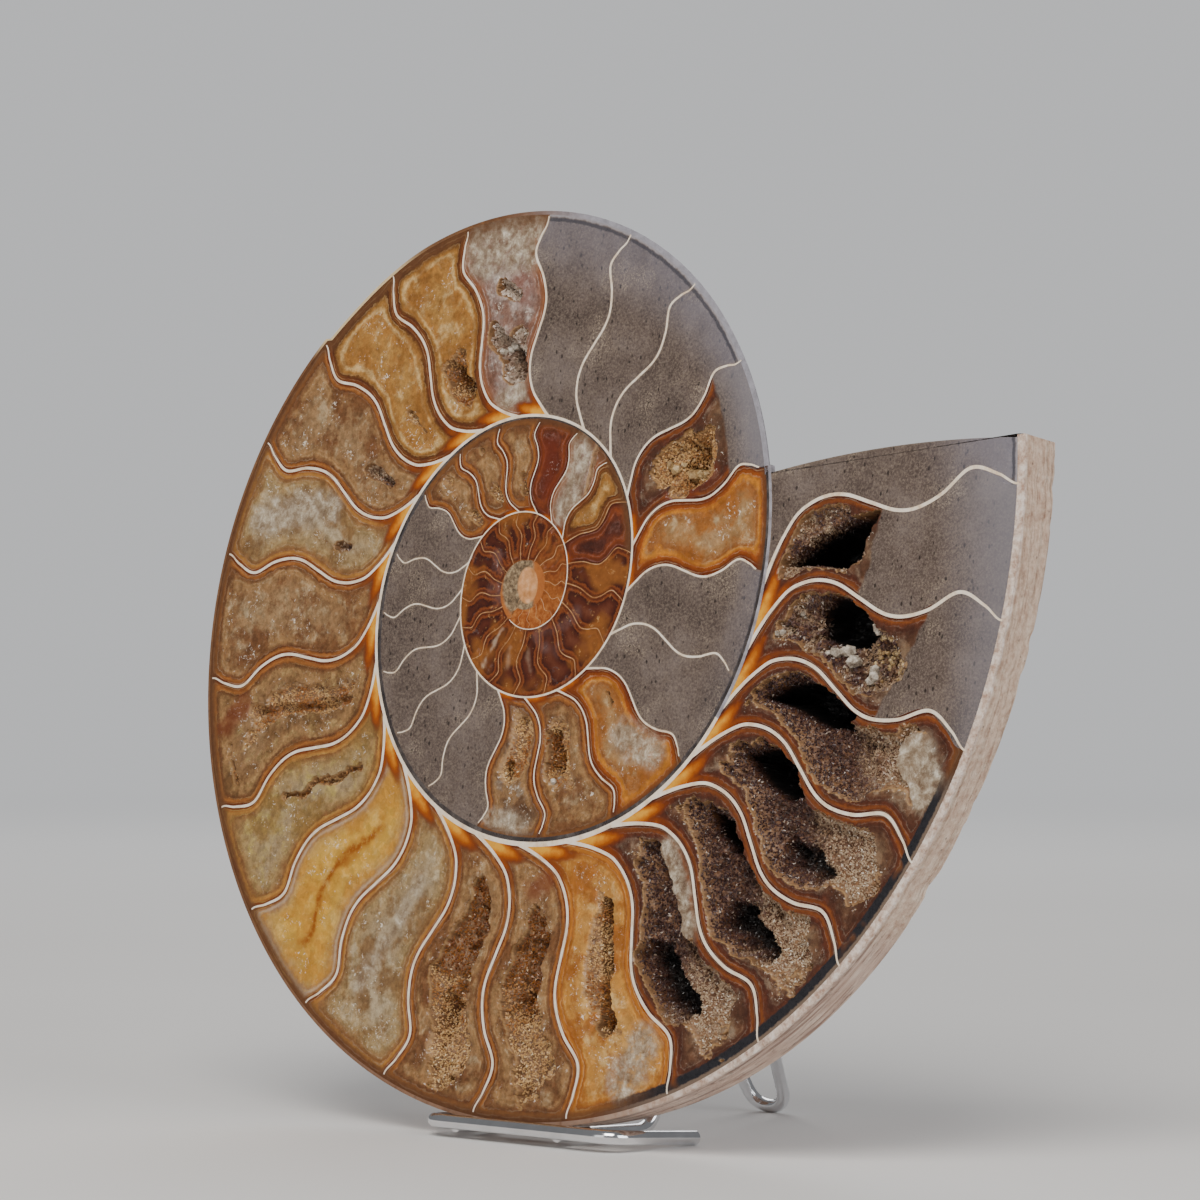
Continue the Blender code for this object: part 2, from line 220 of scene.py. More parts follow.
# Loose lumps in the hollows: front septum, across, up and size in mm, how many and their spread in mm
WHITE_LUMPS = (
    (1, 59.2, -16.2, 1.9, 3, 1.0), (1, 63.0, -13.2, 1.5, 2, 0.8), (1, 70.4, -21.0, 2.2, 3, 0.9),
    (1, 74.2, -23.0, 3.0, 3, 0.9), (1, 77.8, -26.0, 2.8, 3, 1.0), (1, 80.8, -18.0, 2.6, 3, 0.9),
    (1, 82.4, -30.2, 3.0, 3, 1.2), (27, 5.9, -36.3, 2.0, 2, 0.5), (18, -8.6, 52.4, 2.6, 4, 1.6),
    (18, -6.0, 45.8, 2.2, 4, 1.8),
)
TAN_LUMPS = (
    (1, 83.4, -22.6, 1.3, 46, 2.3), (1, 86.6, -25.4, 1.0, 24, 1.6), (1, 79.6, -22.0, 0.9, 20, 1.3),
    (22, 36.4, 15.8, 3.6, 4, 0.8), (22, 39.4, 14.8, 3.0, 4, 0.9), (22, 33.8, 16.6, 2.4, 3, 0.9),
    (8, -16.2, -70.0, 2.2, 2, 0.5), (8, -14.2, -69.4, 1.7, 2, 0.4),
)
# Height of the grey matrix in a chamber that is only partly hollow, at its two septa
MATRIX_TOPS = {0: (0.40, 0.46), 1: (0.60, 0.70), 22: (0.74, 0.78)}
STONE_CHAMBERS = (-1, 19, 20, 21, 24, 25, 29, 30, 31, 32, 33, 34)
# Painted sheen of reflected light, a cool bluish grey, on the matrix towards the rim: its reach in mm and its
# strength, by growth angle
SHEEN_REACH = ((-330, 9.0), (-290, 16.0), (-30, 0.1), (-12, 14.0), (12, 26.0))
SHEEN_STRENGTH = (
    (-400, 0.0), (-375, 0.25), (-340, 0.6), (-275, 0.35), (-250, 0.0), (-40, 0.0), (-10, 0.5), (12, 0.75),
)

# Druse: open chambers whose beds of crystals slope, chambers with amber and with clear crystals, and the
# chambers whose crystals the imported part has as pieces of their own
SLOPING_DRUSE = (2, 3, 4, 5)
AMBER_DRUSE = (6, 7, 8, 11, 12, 16, 17, 22, 26, 27, 28, 35, 36, 37)
CLEAR_DRUSE = (18, 39)
CRUSTED = (1, 2, 3, 4, 5, 7, 8, 22)
# Crystals: smallest and largest in mm, how many on a square millimetre, least depth of their ground in mm
CRYSTAL_SIZE = (0.24, 0.52)
CRYSTAL_SIZES = {1: (0.3, 0.7), 18: (0.4, 0.95), 22: (0.28, 0.6), 39: (0.3, 0.8)}
CRYSTAL_DENSITY = 7.0
LEAST_HOLLOW = 0.45

# Grid cells of a chamber in mm: with hollows, without them and in the small whorls
HOLLOW_CELL = 0.32
PLAIN_CELL = 0.6
INNER_CELL = 0.22
# Thickness in mm of the slabs and of the strips laid into them
SLAB_THICKNESS = 0.9
INNER_THICKNESS = 0.7
SEPTUM_THICKNESS = 1.1
WALL_THICKNESS = 1.2
STRIP_OVERLAP = 0.08
# Strips: where they run, in degrees of growth, and their half widths in mm by growth angle
WALL_SPAN = (CORE_ANGLE, -392.0)
LOBE_SPAN = (-393.0, START_ANGLE + 1.5)
LINING_SPAN = (-735.0, START_ANGLE + 1.0)
WALL_WIDTHS = (
    (-1206, 0.08), (-900, 0.14), (-700, 0.22), (-500, 0.34), (-440, 0.46), (-380, 0.34), (-346, 0.30),
)
LINING_WIDTHS = ((-735, 0.14), (-600, 0.22), (-500, 0.46), (-430, 0.42), (-346, 0.30))
SEPTUM_WIDTHS = ((-1200, 0.05), (-740, 0.08), (-450, 0.15), (-250, 0.25), (0, 0.31))

# Stand, in millimetres from the middle of the fossil
BEND_RADIUS = 5.0
FOOT_RADIUS = 1.3
FOOT_X = 12.9
FOOT_WIDTH = 46.2
FOOT_FRONT = -15.6
FOOT_BACK = 5.4
FOOT_RAIL_HEIGHT = 2.9
EASEL_X = 8.3
EASEL_RADIUS = 1.25
EASEL_BENDS = (
    (12.5, -13.9, 2.10), (12.5, 10.9, 1.25), (15.0, 20.1, 65.0), (14.0, 25.5, 66.0), (3.9, 57.0, 1.25),
)

# Colour of the backdrop, and its light as the camera sees it and as it lights the fossil
SKY = (0.97, 0.98, 1.0)
BACKDROP = 0.62
SOFT_LIGHT = 0.20
# Lights: place in metres, size, power and colour
LIGHTS = (
    ("key", (0.45, -0.80, 0.95), 0.7, 13.0, (1.0, 0.96, 0.91)),
    ("fill", (1.40, -0.10, 0.50), 0.9, 9.0, (0.95, 0.97, 1.0)),
    ("front", (-0.15, -1.4, 0.25), 0.8, 2.0, (1.0, 0.98, 0.95)),
    ("back", (-0.9, 0.9, 0.9), 0.9, 8.0, (1.0, 1.0, 1.0)),
)
# Camera: place in mm from the middle of the fossil, the way it looks, lens and sensor in mm
CAMERA_PLACE = (626.2, -646.3, -2.7)
CAMERA_VIEW = (-0.6852, 0.7283, 0.0)
CAMERA_LENS = 150.0
CAMERA_SENSOR = 36.0


def smooth_step(x):
    x = np.clip(x, 0.0, 1.0)
    return x * x * (3 - 2 * x)


def smooth_curve(table, x):
    """Values of a smooth line through the table's points."""
    places, values = np.array(table, float).T
    slopes = np.empty_like(values)
    slopes[1:-1] = (values[2:] - values[:-2]) / (places[2:] - places[:-2])
    slopes[0] = (values[1] - values[0]) / (places[1] - places[0])
    slopes[-1] = (values[-1] - values[-2]) / (places[-1] - places[-2])
    x = np.asarray(x, float)
    k = np.clip(np.searchsorted(places, x, side="right") - 1, 0, len(places) - 2)
    span = places[k + 1] - places[k]
    f = np.clip((x - places[k]) / span, 0.0, 1.0)
    start, end = values[k], values[k + 1]
    lean_in, lean_out = slopes[k] * span, slopes[k + 1] * span
    ends = (2 * f**3 - 3 * f**2 + 1) * start + (3 * f**2 - 2 * f**3) * end
    return ends + (f**3 - 2 * f**2 + f) * lean_in + (f**3 - f**2) * lean_out


def straight_curve(table, x):
    """Values of the straight lines between the table's points."""
    places, values = np.array(table, float).T
    return np.interp(x, places, values)


def rows_of(table, front):
    """What the table's rows for one chamber say after its number."""
    return [row[1:] for row in table if row[0] == front]


WALL_TABLE = [(FIRST_ANGLE + ANGLE_STEP * i, math.log(r)) for i, r in enumerate(WHORL_RADII)]


def wall_radius(angle):
    return np.exp(smooth_curve(WALL_TABLE, angle))


def shell_width(angle):
    return smooth_curve(SHELL_WIDTHS, angle)


def rim_notch(angle):
    """Depth in mm of the place where the shell has flaked off the rim."""
    return 0.9 * smooth_step((-226.0 - angle) / 0.8) * smooth_step((angle + 250.0) / 20.0)


def aperture_angle(height):
    """Growth angle of the mouth's edge at this height of the whorl."""
    angle = np.full_like(np.asarray(height, float), LAST_ANGLE)
    first, last = wall_radius(START_ANGLE), wall_radius(LAST_ANGLE)
    for _ in range(4):
        inner = wall_radius(angle - 360)
        radius = inner + (wall_radius(angle) - inner) * height
        angle = LAST_ANGLE + APERTURE_SHEAR * np.clip((last - radius) / (last - first), 0, 1)
    return angle


def septum_angle(index, height):
    if index < 0:
        return aperture_angle(height) - 0.10
    curve = INNER_CURVE if index >= FIRST_INNER_SEPTUM else MIDDLE_CURVE
    if index <= LAST_OUTER_SEPTUM:
        curve = OUTER_CURVE
    return SEPTA[index] + smooth_curve(curve, height)



def polar(radius, angle):
    """Points on the face at a radius in mm and an angle in degrees."""
    turn = np.radians(angle)
    return np.stack([radius * np.cos(turn), radius * np.sin(turn)], -1)


def face_point(angle, height):
    """Points on the face, across and up from the centre, in millimetres."""
    inner = wall_radius(angle - 360)
    return polar(inner + (wall_radius(angle) - inner) * height, angle)


def face_frame():
    """Turns (right, up, behind) millimetres on the polished face into its leaning place."""
    upright = Matrix(((1, 0, 0, 0), (0, 0, 1, 0), (0, 1, 0, 0), (0, 0, 0, 1)))
    lean = Matrix.Rotation(math.radians(-LEAN), 4, "X")
    roll = Matrix.Rotation(math.radians(ROLL), 4, "Z")
    place = Matrix.Translation(Vector((CENTRE_X, CENTRE_Y, CENTRE_HEIGHT)) * MM)
    return place @ lean @ upright @ roll @ Matrix.Scale(MM, 4)


FACE = face_frame()
STAND = Matrix.Translation(Vector((CENTRE_X, CENTRE_Y, 0.0)) * MM) @ Matrix.Scale(MM, 4)


def tone(red, green, blue):
    """A display colour, 0 to 255, as linear light."""
    return tuple(c / 3294.6 if c < 10.3 else ((c / 255 + 0.055) / 1.055) ** 2.4 for c in (red, green, blue))


def tones(*stops):
    """Stops of a ramp, given as place, red, green and blue, as places with linear light."""
    return [(place, tone(*colour)) for place, *colour in stops]


class Finish:
    """A procedural finish, built from nodes that read the piece's own place and attributes."""

    def __init__(self, name):
        self.material = bpy.data.materials.new(name)
        self.material.use_nodes = True
        self.tree = self.material.node_tree
        self.shader = self.tree.nodes["Principled BSDF"]
        self.place = self.tree.nodes.new("ShaderNodeTexCoord").outputs["Object"]

    def put(self, value, socket):
        if isinstance(value, bpy.types.NodeSocket):
            self.tree.links.new(value, socket)
        elif socket.type == "RGBA":
            socket.default_value = (*value, 1.0)
        else:
            socket.default_value = value

    def node(self, kind, inputs, **settings):
        made = self.tree.nodes.new(kind)
        for key, value in settings.items():
            setattr(made, key, value)
        for key, value in inputs.items():
            self.put(value, made.inputs[key])
        return made

    def attribute(self, name):
        return self.node("ShaderNodeAttribute", {}, attribute_name=name).outputs["Fac"]

    def math(self, operation, a, b=0.0):
        return self.node("ShaderNodeMath", {0: a, 1: b}, operation=operation).outputs[0]

    def plus(self, a, b):
        return self.math("ADD", a, b)

    def times(self, first, *others):
        for other in others:
            first = self.math("MULTIPLY", first, other)
        return first

    def stretched(self, x, y, z):
        inputs = {0: self.place, 1: (x, y, z)}
        return self.node("ShaderNodeVectorMath", inputs, operation="MULTIPLY").outputs[0]

    def noise(self, size, detail=3.0, roughness=0.55, distortion=0.0, place=None):
        inputs = {"Vector": place or self.place, "Scale": 1 / (size * MM), "Detail": detail}
        inputs.update({"Roughness": roughness, "Distortion": distortion})
        return self.node("ShaderNodeTexNoise", inputs).outputs["Fac"]

    def wander(self, size, detail=3.0, roughness=0.55):
        """Noise that goes about as far below zero as above it."""
        return self.math("SUBTRACT", self.noise(size, detail, roughness), 0.5)

    def cells(self, size, output="Distance", place=None):
        inputs = {"Vector": place or self.place, "Scale": 1 / (size * MM)}
        return self.node("ShaderNodeTexVoronoi", inputs).outputs[output]

    def ramp(self, value, stops):
        made = self.node("ShaderNodeValToRGB", {"Fac": value})
        elements = made.color_ramp.elements
        while len(elements) < len(stops):
            elements.new(1.0)
        for element, (place, colour) in zip(elements, stops):
            element.position = place
            element.color = (*colour, 1.0)
        return made.outputs["Color"]

    def limits(self, value, low, high, to_low=0.0, to_high=1.0):
        inputs = {"Value": value, "From Min": low, "From Max": high, "To Min": to_low, "To Max": to_high}
        return self.node("ShaderNodeMapRange", inputs, interpolation_type="SMOOTHSTEP").outputs[0]

    def mix(self, share, a, b, blend="MIX"):
        made = self.node("ShaderNodeMix", {}, data_type="RGBA", blend_type=blend)
        self.put(share, made.inputs[0])
        self.put(a, made.inputs[6])
        self.put(b, made.inputs[7])
        return made.outputs[2]

    def lit(self, colour, light):
        """A colour made brighter or darker by a factor."""
        grey = self.node("ShaderNodeCombineColor", {0: light, 1: light, 2: light}).outputs[0]
        return self.mix(1.0, colour, grey, "MULTIPLY")

    def bump(self, height, depth, strength):
        inputs = {"Height": height, "Distance": depth * MM, "Strength": strength}
        self.put(self.node("ShaderNodeBump", inputs).outputs[0], self.shader.inputs["Normal"])

    def done(self, colour, roughness, coat=0.0, metallic=0.0, specular=0.5):
        self.put(colour, self.shader.inputs["Base Color"])
        self.put(roughness, self.shader.inputs["Roughness"])
        self.shader.inputs["Coat Weight"].default_value = coat
        self.shader.inputs["Coat Roughness"].default_value = 0.12
        self.shader.inputs["Metallic"].default_value = metallic
        self.shader.inputs["Specular IOR Level"].default_value = specular
        return self.material


def matrix_colour(f):
    """Grey mud stone that filled a chamber: warm grey, mottled, with dark and pale grains."""
    cloud = f.noise(10.0, 5.0, 0.62)
    colour = f.ramp(cloud, tones((0.30, 74, 61, 55), (0.50, 94, 80, 73), (0.70, 114, 101, 95)))
    grain = f.noise(0.42, 3.0, 0.8)
    colour = f.mix(f.limits(grain, 0.42, 0.68, 0.0, 0.55), colour, tone(146, 131, 116))
    colour = f.mix(f.limits(grain, 0.46, 0.30, 0.0, 0.55), colour, tone(60, 49, 43))
    spots = f.cells(1.25, place=f.stretched(1.0, 1.0, 0.6))
    dark = f.times(f.limits(spots, 0.24, 0.14), f.limits(f.noise(2.6, 2.0), 0.44, 0.52), 0.85)
    colour = f.mix(dark, colour, tone(36, 28, 25))
    dust = f.times(f.limits(f.noise(8.0), 0.52, 0.68), f.limits(f.noise(0.3, 2.0), 0.50, 0.62), 0.55)
    return f.mix(dust, colour, tone(178, 160, 138))


def druse_colour(f, deep):
    """Wall of a hollow between its crystals, darker the deeper it lies, as painted shade."""
    walls = tones(
        (0.0, 132, 98, 66), (0.12, 100, 66, 42), (0.30, 66, 40, 28), (0.52, 28, 18, 14), (0.75, 10, 7, 6),
        (1.0, 4, 3, 3),
    )
    base = f.ramp(f.limits(deep, 0.0, 12.0), walls)
    return f.lit(base, f.limits(f.noise(0.7, 4.0, 0.75), 0.3, 0.7, 0.62, 1.35))


def growth_bands(f, band, slow, bands, reach, veil, stain):
    """Bands along a chamber's walls, with faint dark and pale lines between them."""
    colour = f.ramp(f.math("DIVIDE", band, reach), bands)
    layer = f.math("SINE", f.plus(f.times(band, 7.0), f.times(slow, 9.0)))
    faint = f.limits(f.noise(3.0), 0.38, 0.6, 0.15, 1.0)
    dark = f.times(f.limits(layer, 0.3, 0.95), f.limits(band, 0.4, 5.6, 0.42, 0.0), faint)
    pale = f.times(f.limits(layer, -0.6, -0.98), f.limits(band, 0.9, 5.0, 0.4, 0.0), faint)
    return f.mix(pale, f.mix(dark, colour, stain), veil)


def cloudy_heart(f, colour, band, veil, stain, grain):
    """Clouds, smudges, grains and small glints in the middle of a chamber."""
    heart = f.limits(band, 1.6, 3.8)
    cloud = f.noise(3.6, 10.0, 0.7, 0.35)
    colour = f.mix(f.times(f.limits(cloud, 0.50, 0.66), heart, 0.8), colour, veil)
    smudge = f.limits(f.noise(8.0, 6.0, 0.66), 0.53, 0.40, 0.0, 0.8)
    colour = f.mix(f.times(smudge, f.limits(band, 0.8, 2.4)), colour, stain)
    colour = f.mix(f.times(f.limits(cloud, 0.46, 0.34), heart, 0.7), colour, stain)
    fine = f.limits(f.noise(1.1, 8.0, 0.78), 0.34, 0.66, 1.0 - grain, 1.0 + grain)
    mosaic = f.node("ShaderNodeSeparateColor", {"Color": f.cells(1.5, "Color")}).outputs[0]
    grains = f.lit(colour, f.times(fine, f.limits(mosaic, 0.0, 1.0, 0.9, 1.1)))
    colour = f.mix(f.limits(band, 0.2, 2.2, 0.3, 1.0), colour, grains)
    swarm = f.times(heart, f.limits(f.noise(5.0, 4.0, 0.7), 0.50, 0.60))
    glints = f.times(f.limits(f.noise(0.7, 3.0, 0.7, 0.8), 0.58, 0.66), swarm, 0.8)
    return f.mix(glints, colour, tone(250, 240, 222))


def middle_streak(f, colour, slow, strength, shade):
    """A soft streak up the middle of a chamber."""
    aside = f.math("SUBTRACT", f.attribute("across"), 0.5)
    middle = f.math("ABSOLUTE", f.plus(aside, f.times(slow, 0.35)))
    height = f.attribute("height")
    broken = f.limits(f.noise(1.1, 8.0, 0.78), 0.40, 0.56, 0.35, 1.0)
    body = f.times(f.limits(height, 0.14, 0.3), f.limits(height, 0.92, 0.8), broken)
    return f.mix(f.times(f.limits(middle, 0.10, 0.01, 0.0, strength), body), colour, shade)


def stained(f, colour):
    """Red stain and broken white calcite, where the attributes say."""
    colour = f.mix(f.attribute("red"), colour, tone(110, 42, 18))
    chalk = tones((0.36, 110, 88, 68), (0.48, 154, 136, 114), (0.58, 196, 182, 160), (0.68, 240, 232, 216))
    broken = f.times(f.attribute("pale"), f.limits(f.noise(1.6, 7.0, 0.7), 0.34, 0.54, 0.35, 1.0))
    return f.mix(broken, colour, f.ramp(f.noise(2.4, 9.0, 0.72, 0.3), chalk))


def glowing_foot(f, colour):
    """Orange calcite that licks up from the foot of a septum."""
    flame = tones(
        (0.12, 78, 32, 12), (0.36, 116, 50, 12), (0.60, 160, 78, 12), (0.82, 204, 120, 20),
        (1.0, 232, 166, 50),
    )
    glow, lick = f.attribute("glow"), f.wander(1.8, 4.0, 0.6)
    share = f.limits(f.plus(glow, f.times(lick, 0.4)), 0.08, 0.5)
    return f.mix(share, colour, f.ramp(f.plus(glow, f.times(lick, 0.5)), flame))


def rim_lining(f, colour, quick):
    """Brown lining of the outer wall, with slate and a tan edge in the last chambers."""
    outer = f.plus(f.attribute("rimward"), f.times(quick, 0.9))
    brown = f.mix(f.noise(1.2, 5.0, 0.7), tone(60, 32, 18), tone(120, 84, 52))
    colour = f.mix(f.limits(outer, 2.8, 0.9, 0.0, 0.75), colour, brown)
    last = f.attribute("slate")
    strip = f.times(f.limits(outer, 2.5, 2.1), last, f.limits(f.noise(9.0, 2.0), 0.32, 0.40))
    colour = f.mix(strip, colour, f.mix(f.noise(0.8), tone(14, 14, 18), tone(52, 50, 54)))
    return f.mix(f.times(f.limits(outer, 0.8, 0.5), last), colour, tone(118, 100, 86))


def chamber_finish(name, bands, reach, veil, stain, grain, streak):
    """Calcite of one chamber, with its bands, heart, hollows and matrix. A streak below zero is amber."""
    f = Finish(name)
    edge, veil, stain = f.attribute("edge"), tone(*veil), tone(*stain)
    slow, quick = f.wander(6.0, 2.0), f.wander(0.9, 4.0, 0.7)
    far = f.times(slow, 4.5, f.limits(edge, 1.2, 4.2))
    near = f.times(quick, f.limits(edge, 0.0, 2.0, 0.2, 1.2))
    band = f.plus(edge, f.plus(far, near))
    colour = growth_bands(f, band, slow, bands, reach, veil, stain)
    colour = cloudy_heart(f, colour, band, veil, stain, grain)
    if streak:
        colour = middle_streak(f, colour, slow, abs(streak), veil if streak > 0 else tone(150, 82, 22))
    colour = rim_lining(f, glowing_foot(f, stained(f, colour)), quick)
    stone, deep = f.attribute("stone"), f.attribute("deep")
    colour = f.mix(stone, colour, matrix_colour(f))
    # painted reflection: a cool sheen over the matrix towards the rim
    colour = f.mix(f.times(f.attribute("painted_sheen"), stone), colour, tone(140, 138, 146))
    colour = f.mix(f.limits(deep, 0.02, 0.2, 0.0, 0.85), colour, tone(168, 132, 90))
    # painted shade: the hollows' walls darken with depth, to near black
    colour = f.mix(f.limits(deep, 0.2, 0.5), colour, druse_colour(f, deep))
    # painted shade: nearly black in the deepest holes
    colour = f.mix(f.attribute("dark"), colour, tone(6, 4, 4))
    f.bump(f.noise(0.45), 0.05, 0.2)
    return f.done(colour, f.limits(deep, 0.05, 0.5, 0.2, 0.55), coat=0.12)


def stone_finish():
    """Chamber that the mud filled, with a cool painted sheen of reflected light towards the rim."""
    f = Finish("grey_matrix")
    # painted reflection: a cool sheen mixed over the matrix towards the rim
    sheen = f.mix(f.noise(5.0, 4.0), tone(120, 116, 124), tone(146, 146, 160))
    colour = f.mix(f.attribute("painted_sheen"), matrix_colour(f), sheen)
    outer = f.plus(f.attribute("rimward"), f.times(f.wander(1.4), 0.7))
    lining = f.times(f.limits(outer, 1.3, 1.0), f.limits(outer, 0.35, 0.6, 0.0, 0.75))
    colour = f.mix(lining, colour, tone(58, 58, 66))
    colour = f.mix(f.limits(outer, 0.45, 0.2, 0.0, 0.7), colour, tone(176, 176, 188))
    colour = f.mix(f.limits(f.attribute("edge"), 0.6, 0.2, 0.0, 0.35), colour, tone(140, 122, 104))
    f.bump(f.noise(0.5), 0.05, 0.2)
    return f.done(colour, f.limits(f.noise(2.2), 0.3, 0.7, 0.2, 0.3), coat=0.12)


def whorl_finish():
    """Small chambers of the first whorls: dark red brown, speckled with white and yellow."""
    f = Finish("inner_whorl_calcite")
    band = f.plus(f.attribute("edge"), f.times(f.wander(1.1, 4.0, 0.7), 1.3))
    bands = tones(
        (0.0, 124, 66, 28), (0.14, 76, 30, 14), (0.30, 130, 66, 28), (0.42, 58, 22, 12), (0.7, 86, 38, 20),
        (1.0, 110, 62, 40),
    )
    colour = f.ramp(f.math("DIVIDE", band, 2.8), bands)
    mood = f.noise(9.0, 2.0)
    yellow = f.mix(f.noise(1.2, 5.0, 0.7), tone(84, 42, 18), tone(176, 110, 44))
    colour = f.mix(f.limits(mood, 0.50, 0.62, 0.0, 0.8), colour, yellow)
    mauve = f.mix(f.noise(1.0, 4.0), tone(66, 34, 32), tone(134, 100, 92))
    colour = f.mix(f.limits(mood, 0.42, 0.30, 0.0, 0.6), colour, mauve)
    colour = f.mix(f.limits(f.noise(1.3, 6.0, 0.75), 0.58, 0.70, 0.0, 0.65), colour, tone(204, 156, 96))
    core = f.ramp(f.noise(1.1, 5.0, 0.7), tones((0.3, 104, 46, 16), (0.5, 156, 84, 34), (0.7, 196, 128, 66)))
    colour = f.mix(f.attribute("core"), colour, core)
    pale = f.mix(f.noise(0.7), tone(170, 140, 110), tone(232, 212, 184))
    colour = f.mix(f.attribute("pale"), colour, pale)
    colour = f.mix(f.limits(f.attribute("deep"), 0.1, 0.4), colour, tone(44, 24, 16))
    f.bump(f.noise(0.4, 2.0), 0.04, 0.2)
    return f.done(colour, 0.22, coat=0.12)


def heart_finish():
    """The first chamber: a peach oval beside a grey green half."""
    f = Finish("first_chamber_calcite")
    mottle = f.noise(0.9, 4.0, 0.7)
    colour = f.ramp(mottle, tones((0.34, 84, 68, 50), (0.5, 132, 110, 84), (0.64, 178, 154, 118)))
    colour = f.mix(f.attribute("amber"), colour, f.mix(mottle, tone(140, 72, 30), tone(198, 122, 58)))
    peach = f.ramp(f.noise(1.3), tones((0.3, 186, 126, 74), (0.55, 216, 156, 104), (0.75, 232, 184, 138)))
    colour = f.mix(f.attribute("oval"), colour, peach)
    f.bump(mottle, 0.04, 0.2)
    return f.done(colour, 0.2, coat=0.35)


def septum_finish(name, shadow, body, light):
    """Nacre of a septum or whorl wall, with faint growth."""
    f = Finish(name)
    colour = f.ramp(f.noise(2.4, 5.0, 0.65), tones((0.3, *shadow), (0.5, *body), (0.7, *light)))
    colour = f.mix(f.limits(f.noise(11.0, 2.0), 0.55, 0.75, 0.0, 0.35), colour, tone(*shadow))
    f.bump(f.noise(0.4), 0.03, 0.15)
    return f.done(colour, f.limits(f.noise(1.8), 0.3, 0.7, 0.2, 0.3), coat=0.12)


def wall_lining_finish():
    """Grey layered lining just inside the white whorl wall."""
    f = Finish("wall_lining")
    colour = f.ramp(f.noise(3.5, 5.0, 0.6), tones((0.3, 44, 39, 40), (0.5, 66, 59, 57), (0.7, 100, 92, 88)))
    f.bump(f.noise(0.5), 0.03, 0.2)
    return f.done(colour, f.limits(f.noise(2.0), 0.3, 0.7, 0.22, 0.3), coat=0.12)


def shell_place(f, along, inward):
    """Place on the shell along its growth and inwards from its face, each stretched by a factor."""
    inputs = {0: f.times(f.attribute("turn"), 1.8 * MM, along), 1: f.times(f.attribute("behind"), MM, inward)}
    return f.node("ShaderNodeCombineXYZ", inputs).outputs[0]


def rim_section(f, colour, young):
    """Layers, seams, cracks and a ledge on the young shell near the face, and their relief."""
    behind = f.attribute("behind")
    zone = f.times(f.limits(behind, 13.0, 8.0), young)
    across_layers = shell_place(f, 0.22, 1.5)
    strata = f.noise(1.7, 6.0, 0.7, 0.4, across_layers)
    layers = tones((0.30, 136, 100, 80), (0.42, 184, 152, 134), (0.56, 208, 182, 164), (0.72, 234, 214, 196))
    colour = f.mix(f.times(zone, 0.85), colour, f.ramp(strata, layers))
    seams = f.times(f.limits(f.noise(1.6, 4.0, 0.6, 0.3, shell_place(f, 0.07, 1.8)), 0.53, 0.62), zone)
    colour = f.mix(f.times(seams, 0.75), colour, tone(116, 80, 62))
    crack = f.math("ABSOLUTE", f.math("SUBTRACT", f.noise(3.4, 4.0, 0.6, 0.6, across_layers), 0.5))
    crack = f.times(f.limits(crack, 0.016, 0.0, 0.0, 0.75), f.limits(f.noise(9.0), 0.42, 0.52), zone)
    colour = f.mix(crack, colour, tone(70, 42, 28))
    ledge = f.times(f.limits(behind, 0.7, 1.1), f.limits(behind, 1.9, 1.3), young)
    ledge = f.times(ledge, f.limits(f.noise(3.0, 4.0), 0.4, 0.6, 0.2, 0.8))
    relief = f.math("SUBTRACT", f.times(strata, zone), f.times(seams, 0.8))
    return f.mix(ledge, colour, tone(112, 80, 64)), relief


def worn_flank(f, colour):
    """Broken shell beside the mouth, dark specks, and the brown dish of the umbilicus."""
    broken = f.times(f.limits(f.attribute("turn"), -44.0, -40.0), f.limits(f.attribute("behind"), 11.0, 7.0))
    rough = tones((0.34, 156, 116, 88), (0.50, 206, 176, 150), (0.66, 238, 220, 198))
    colour = f.mix(f.times(broken, 0.6), colour, f.ramp(f.noise(1.6, 6.0, 0.75), rough))
    specks = f.times(f.limits(f.cells(1.3), 0.22, 0.12), f.limits(f.noise(6.0), 0.5, 0.6), 0.6)
    colour = f.mix(specks, colour, tone(60, 38, 26))
    return f.mix(f.times(f.limits(f.attribute("dish"), 0.30, 0.75), 0.5), colour, tone(96, 68, 48))


def cut_edge(f, colour):
    """Ring of cut shell on the face: white at the mouth, brown at the side, grey on the lobe."""
    turn, behind = f.attribute("turn"), f.attribute("behind")
    face = f.limits(behind, 0.9, 0.3)
    worn = tones((0.36, 170, 134, 114), (0.5, 220, 198, 182), (0.62, 246, 234, 224))
    white = f.times(face, f.limits(turn, -90.0, -60.0), 0.8)
    colour = f.mix(white, colour, f.ramp(f.noise(1.3, 5.0, 0.7), worn))
    grey = f.mix(f.noise(1.5, 4.0), tone(120, 116, 122), tone(182, 180, 190))
    colour = f.mix(f.times(face, f.limits(turn, -262.0, -285.0)), colour, grey)
    side = f.times(face, f.limits(turn, -285.0, -262.0), f.limits(turn, -60.0, -90.0), 0.75)
    colour = f.mix(side, colour, f.mix(f.noise(1.4, 4.0, 0.7), tone(60, 34, 18), tone(150, 100, 56)))
    cream = f.times(f.limits(turn, -250.0, -240.0), f.limits(turn, -222.0, -226.5))
    return f.mix(f.times(cream, f.limits(behind, 3.5, 1.5)), colour, tone(222, 196, 150))


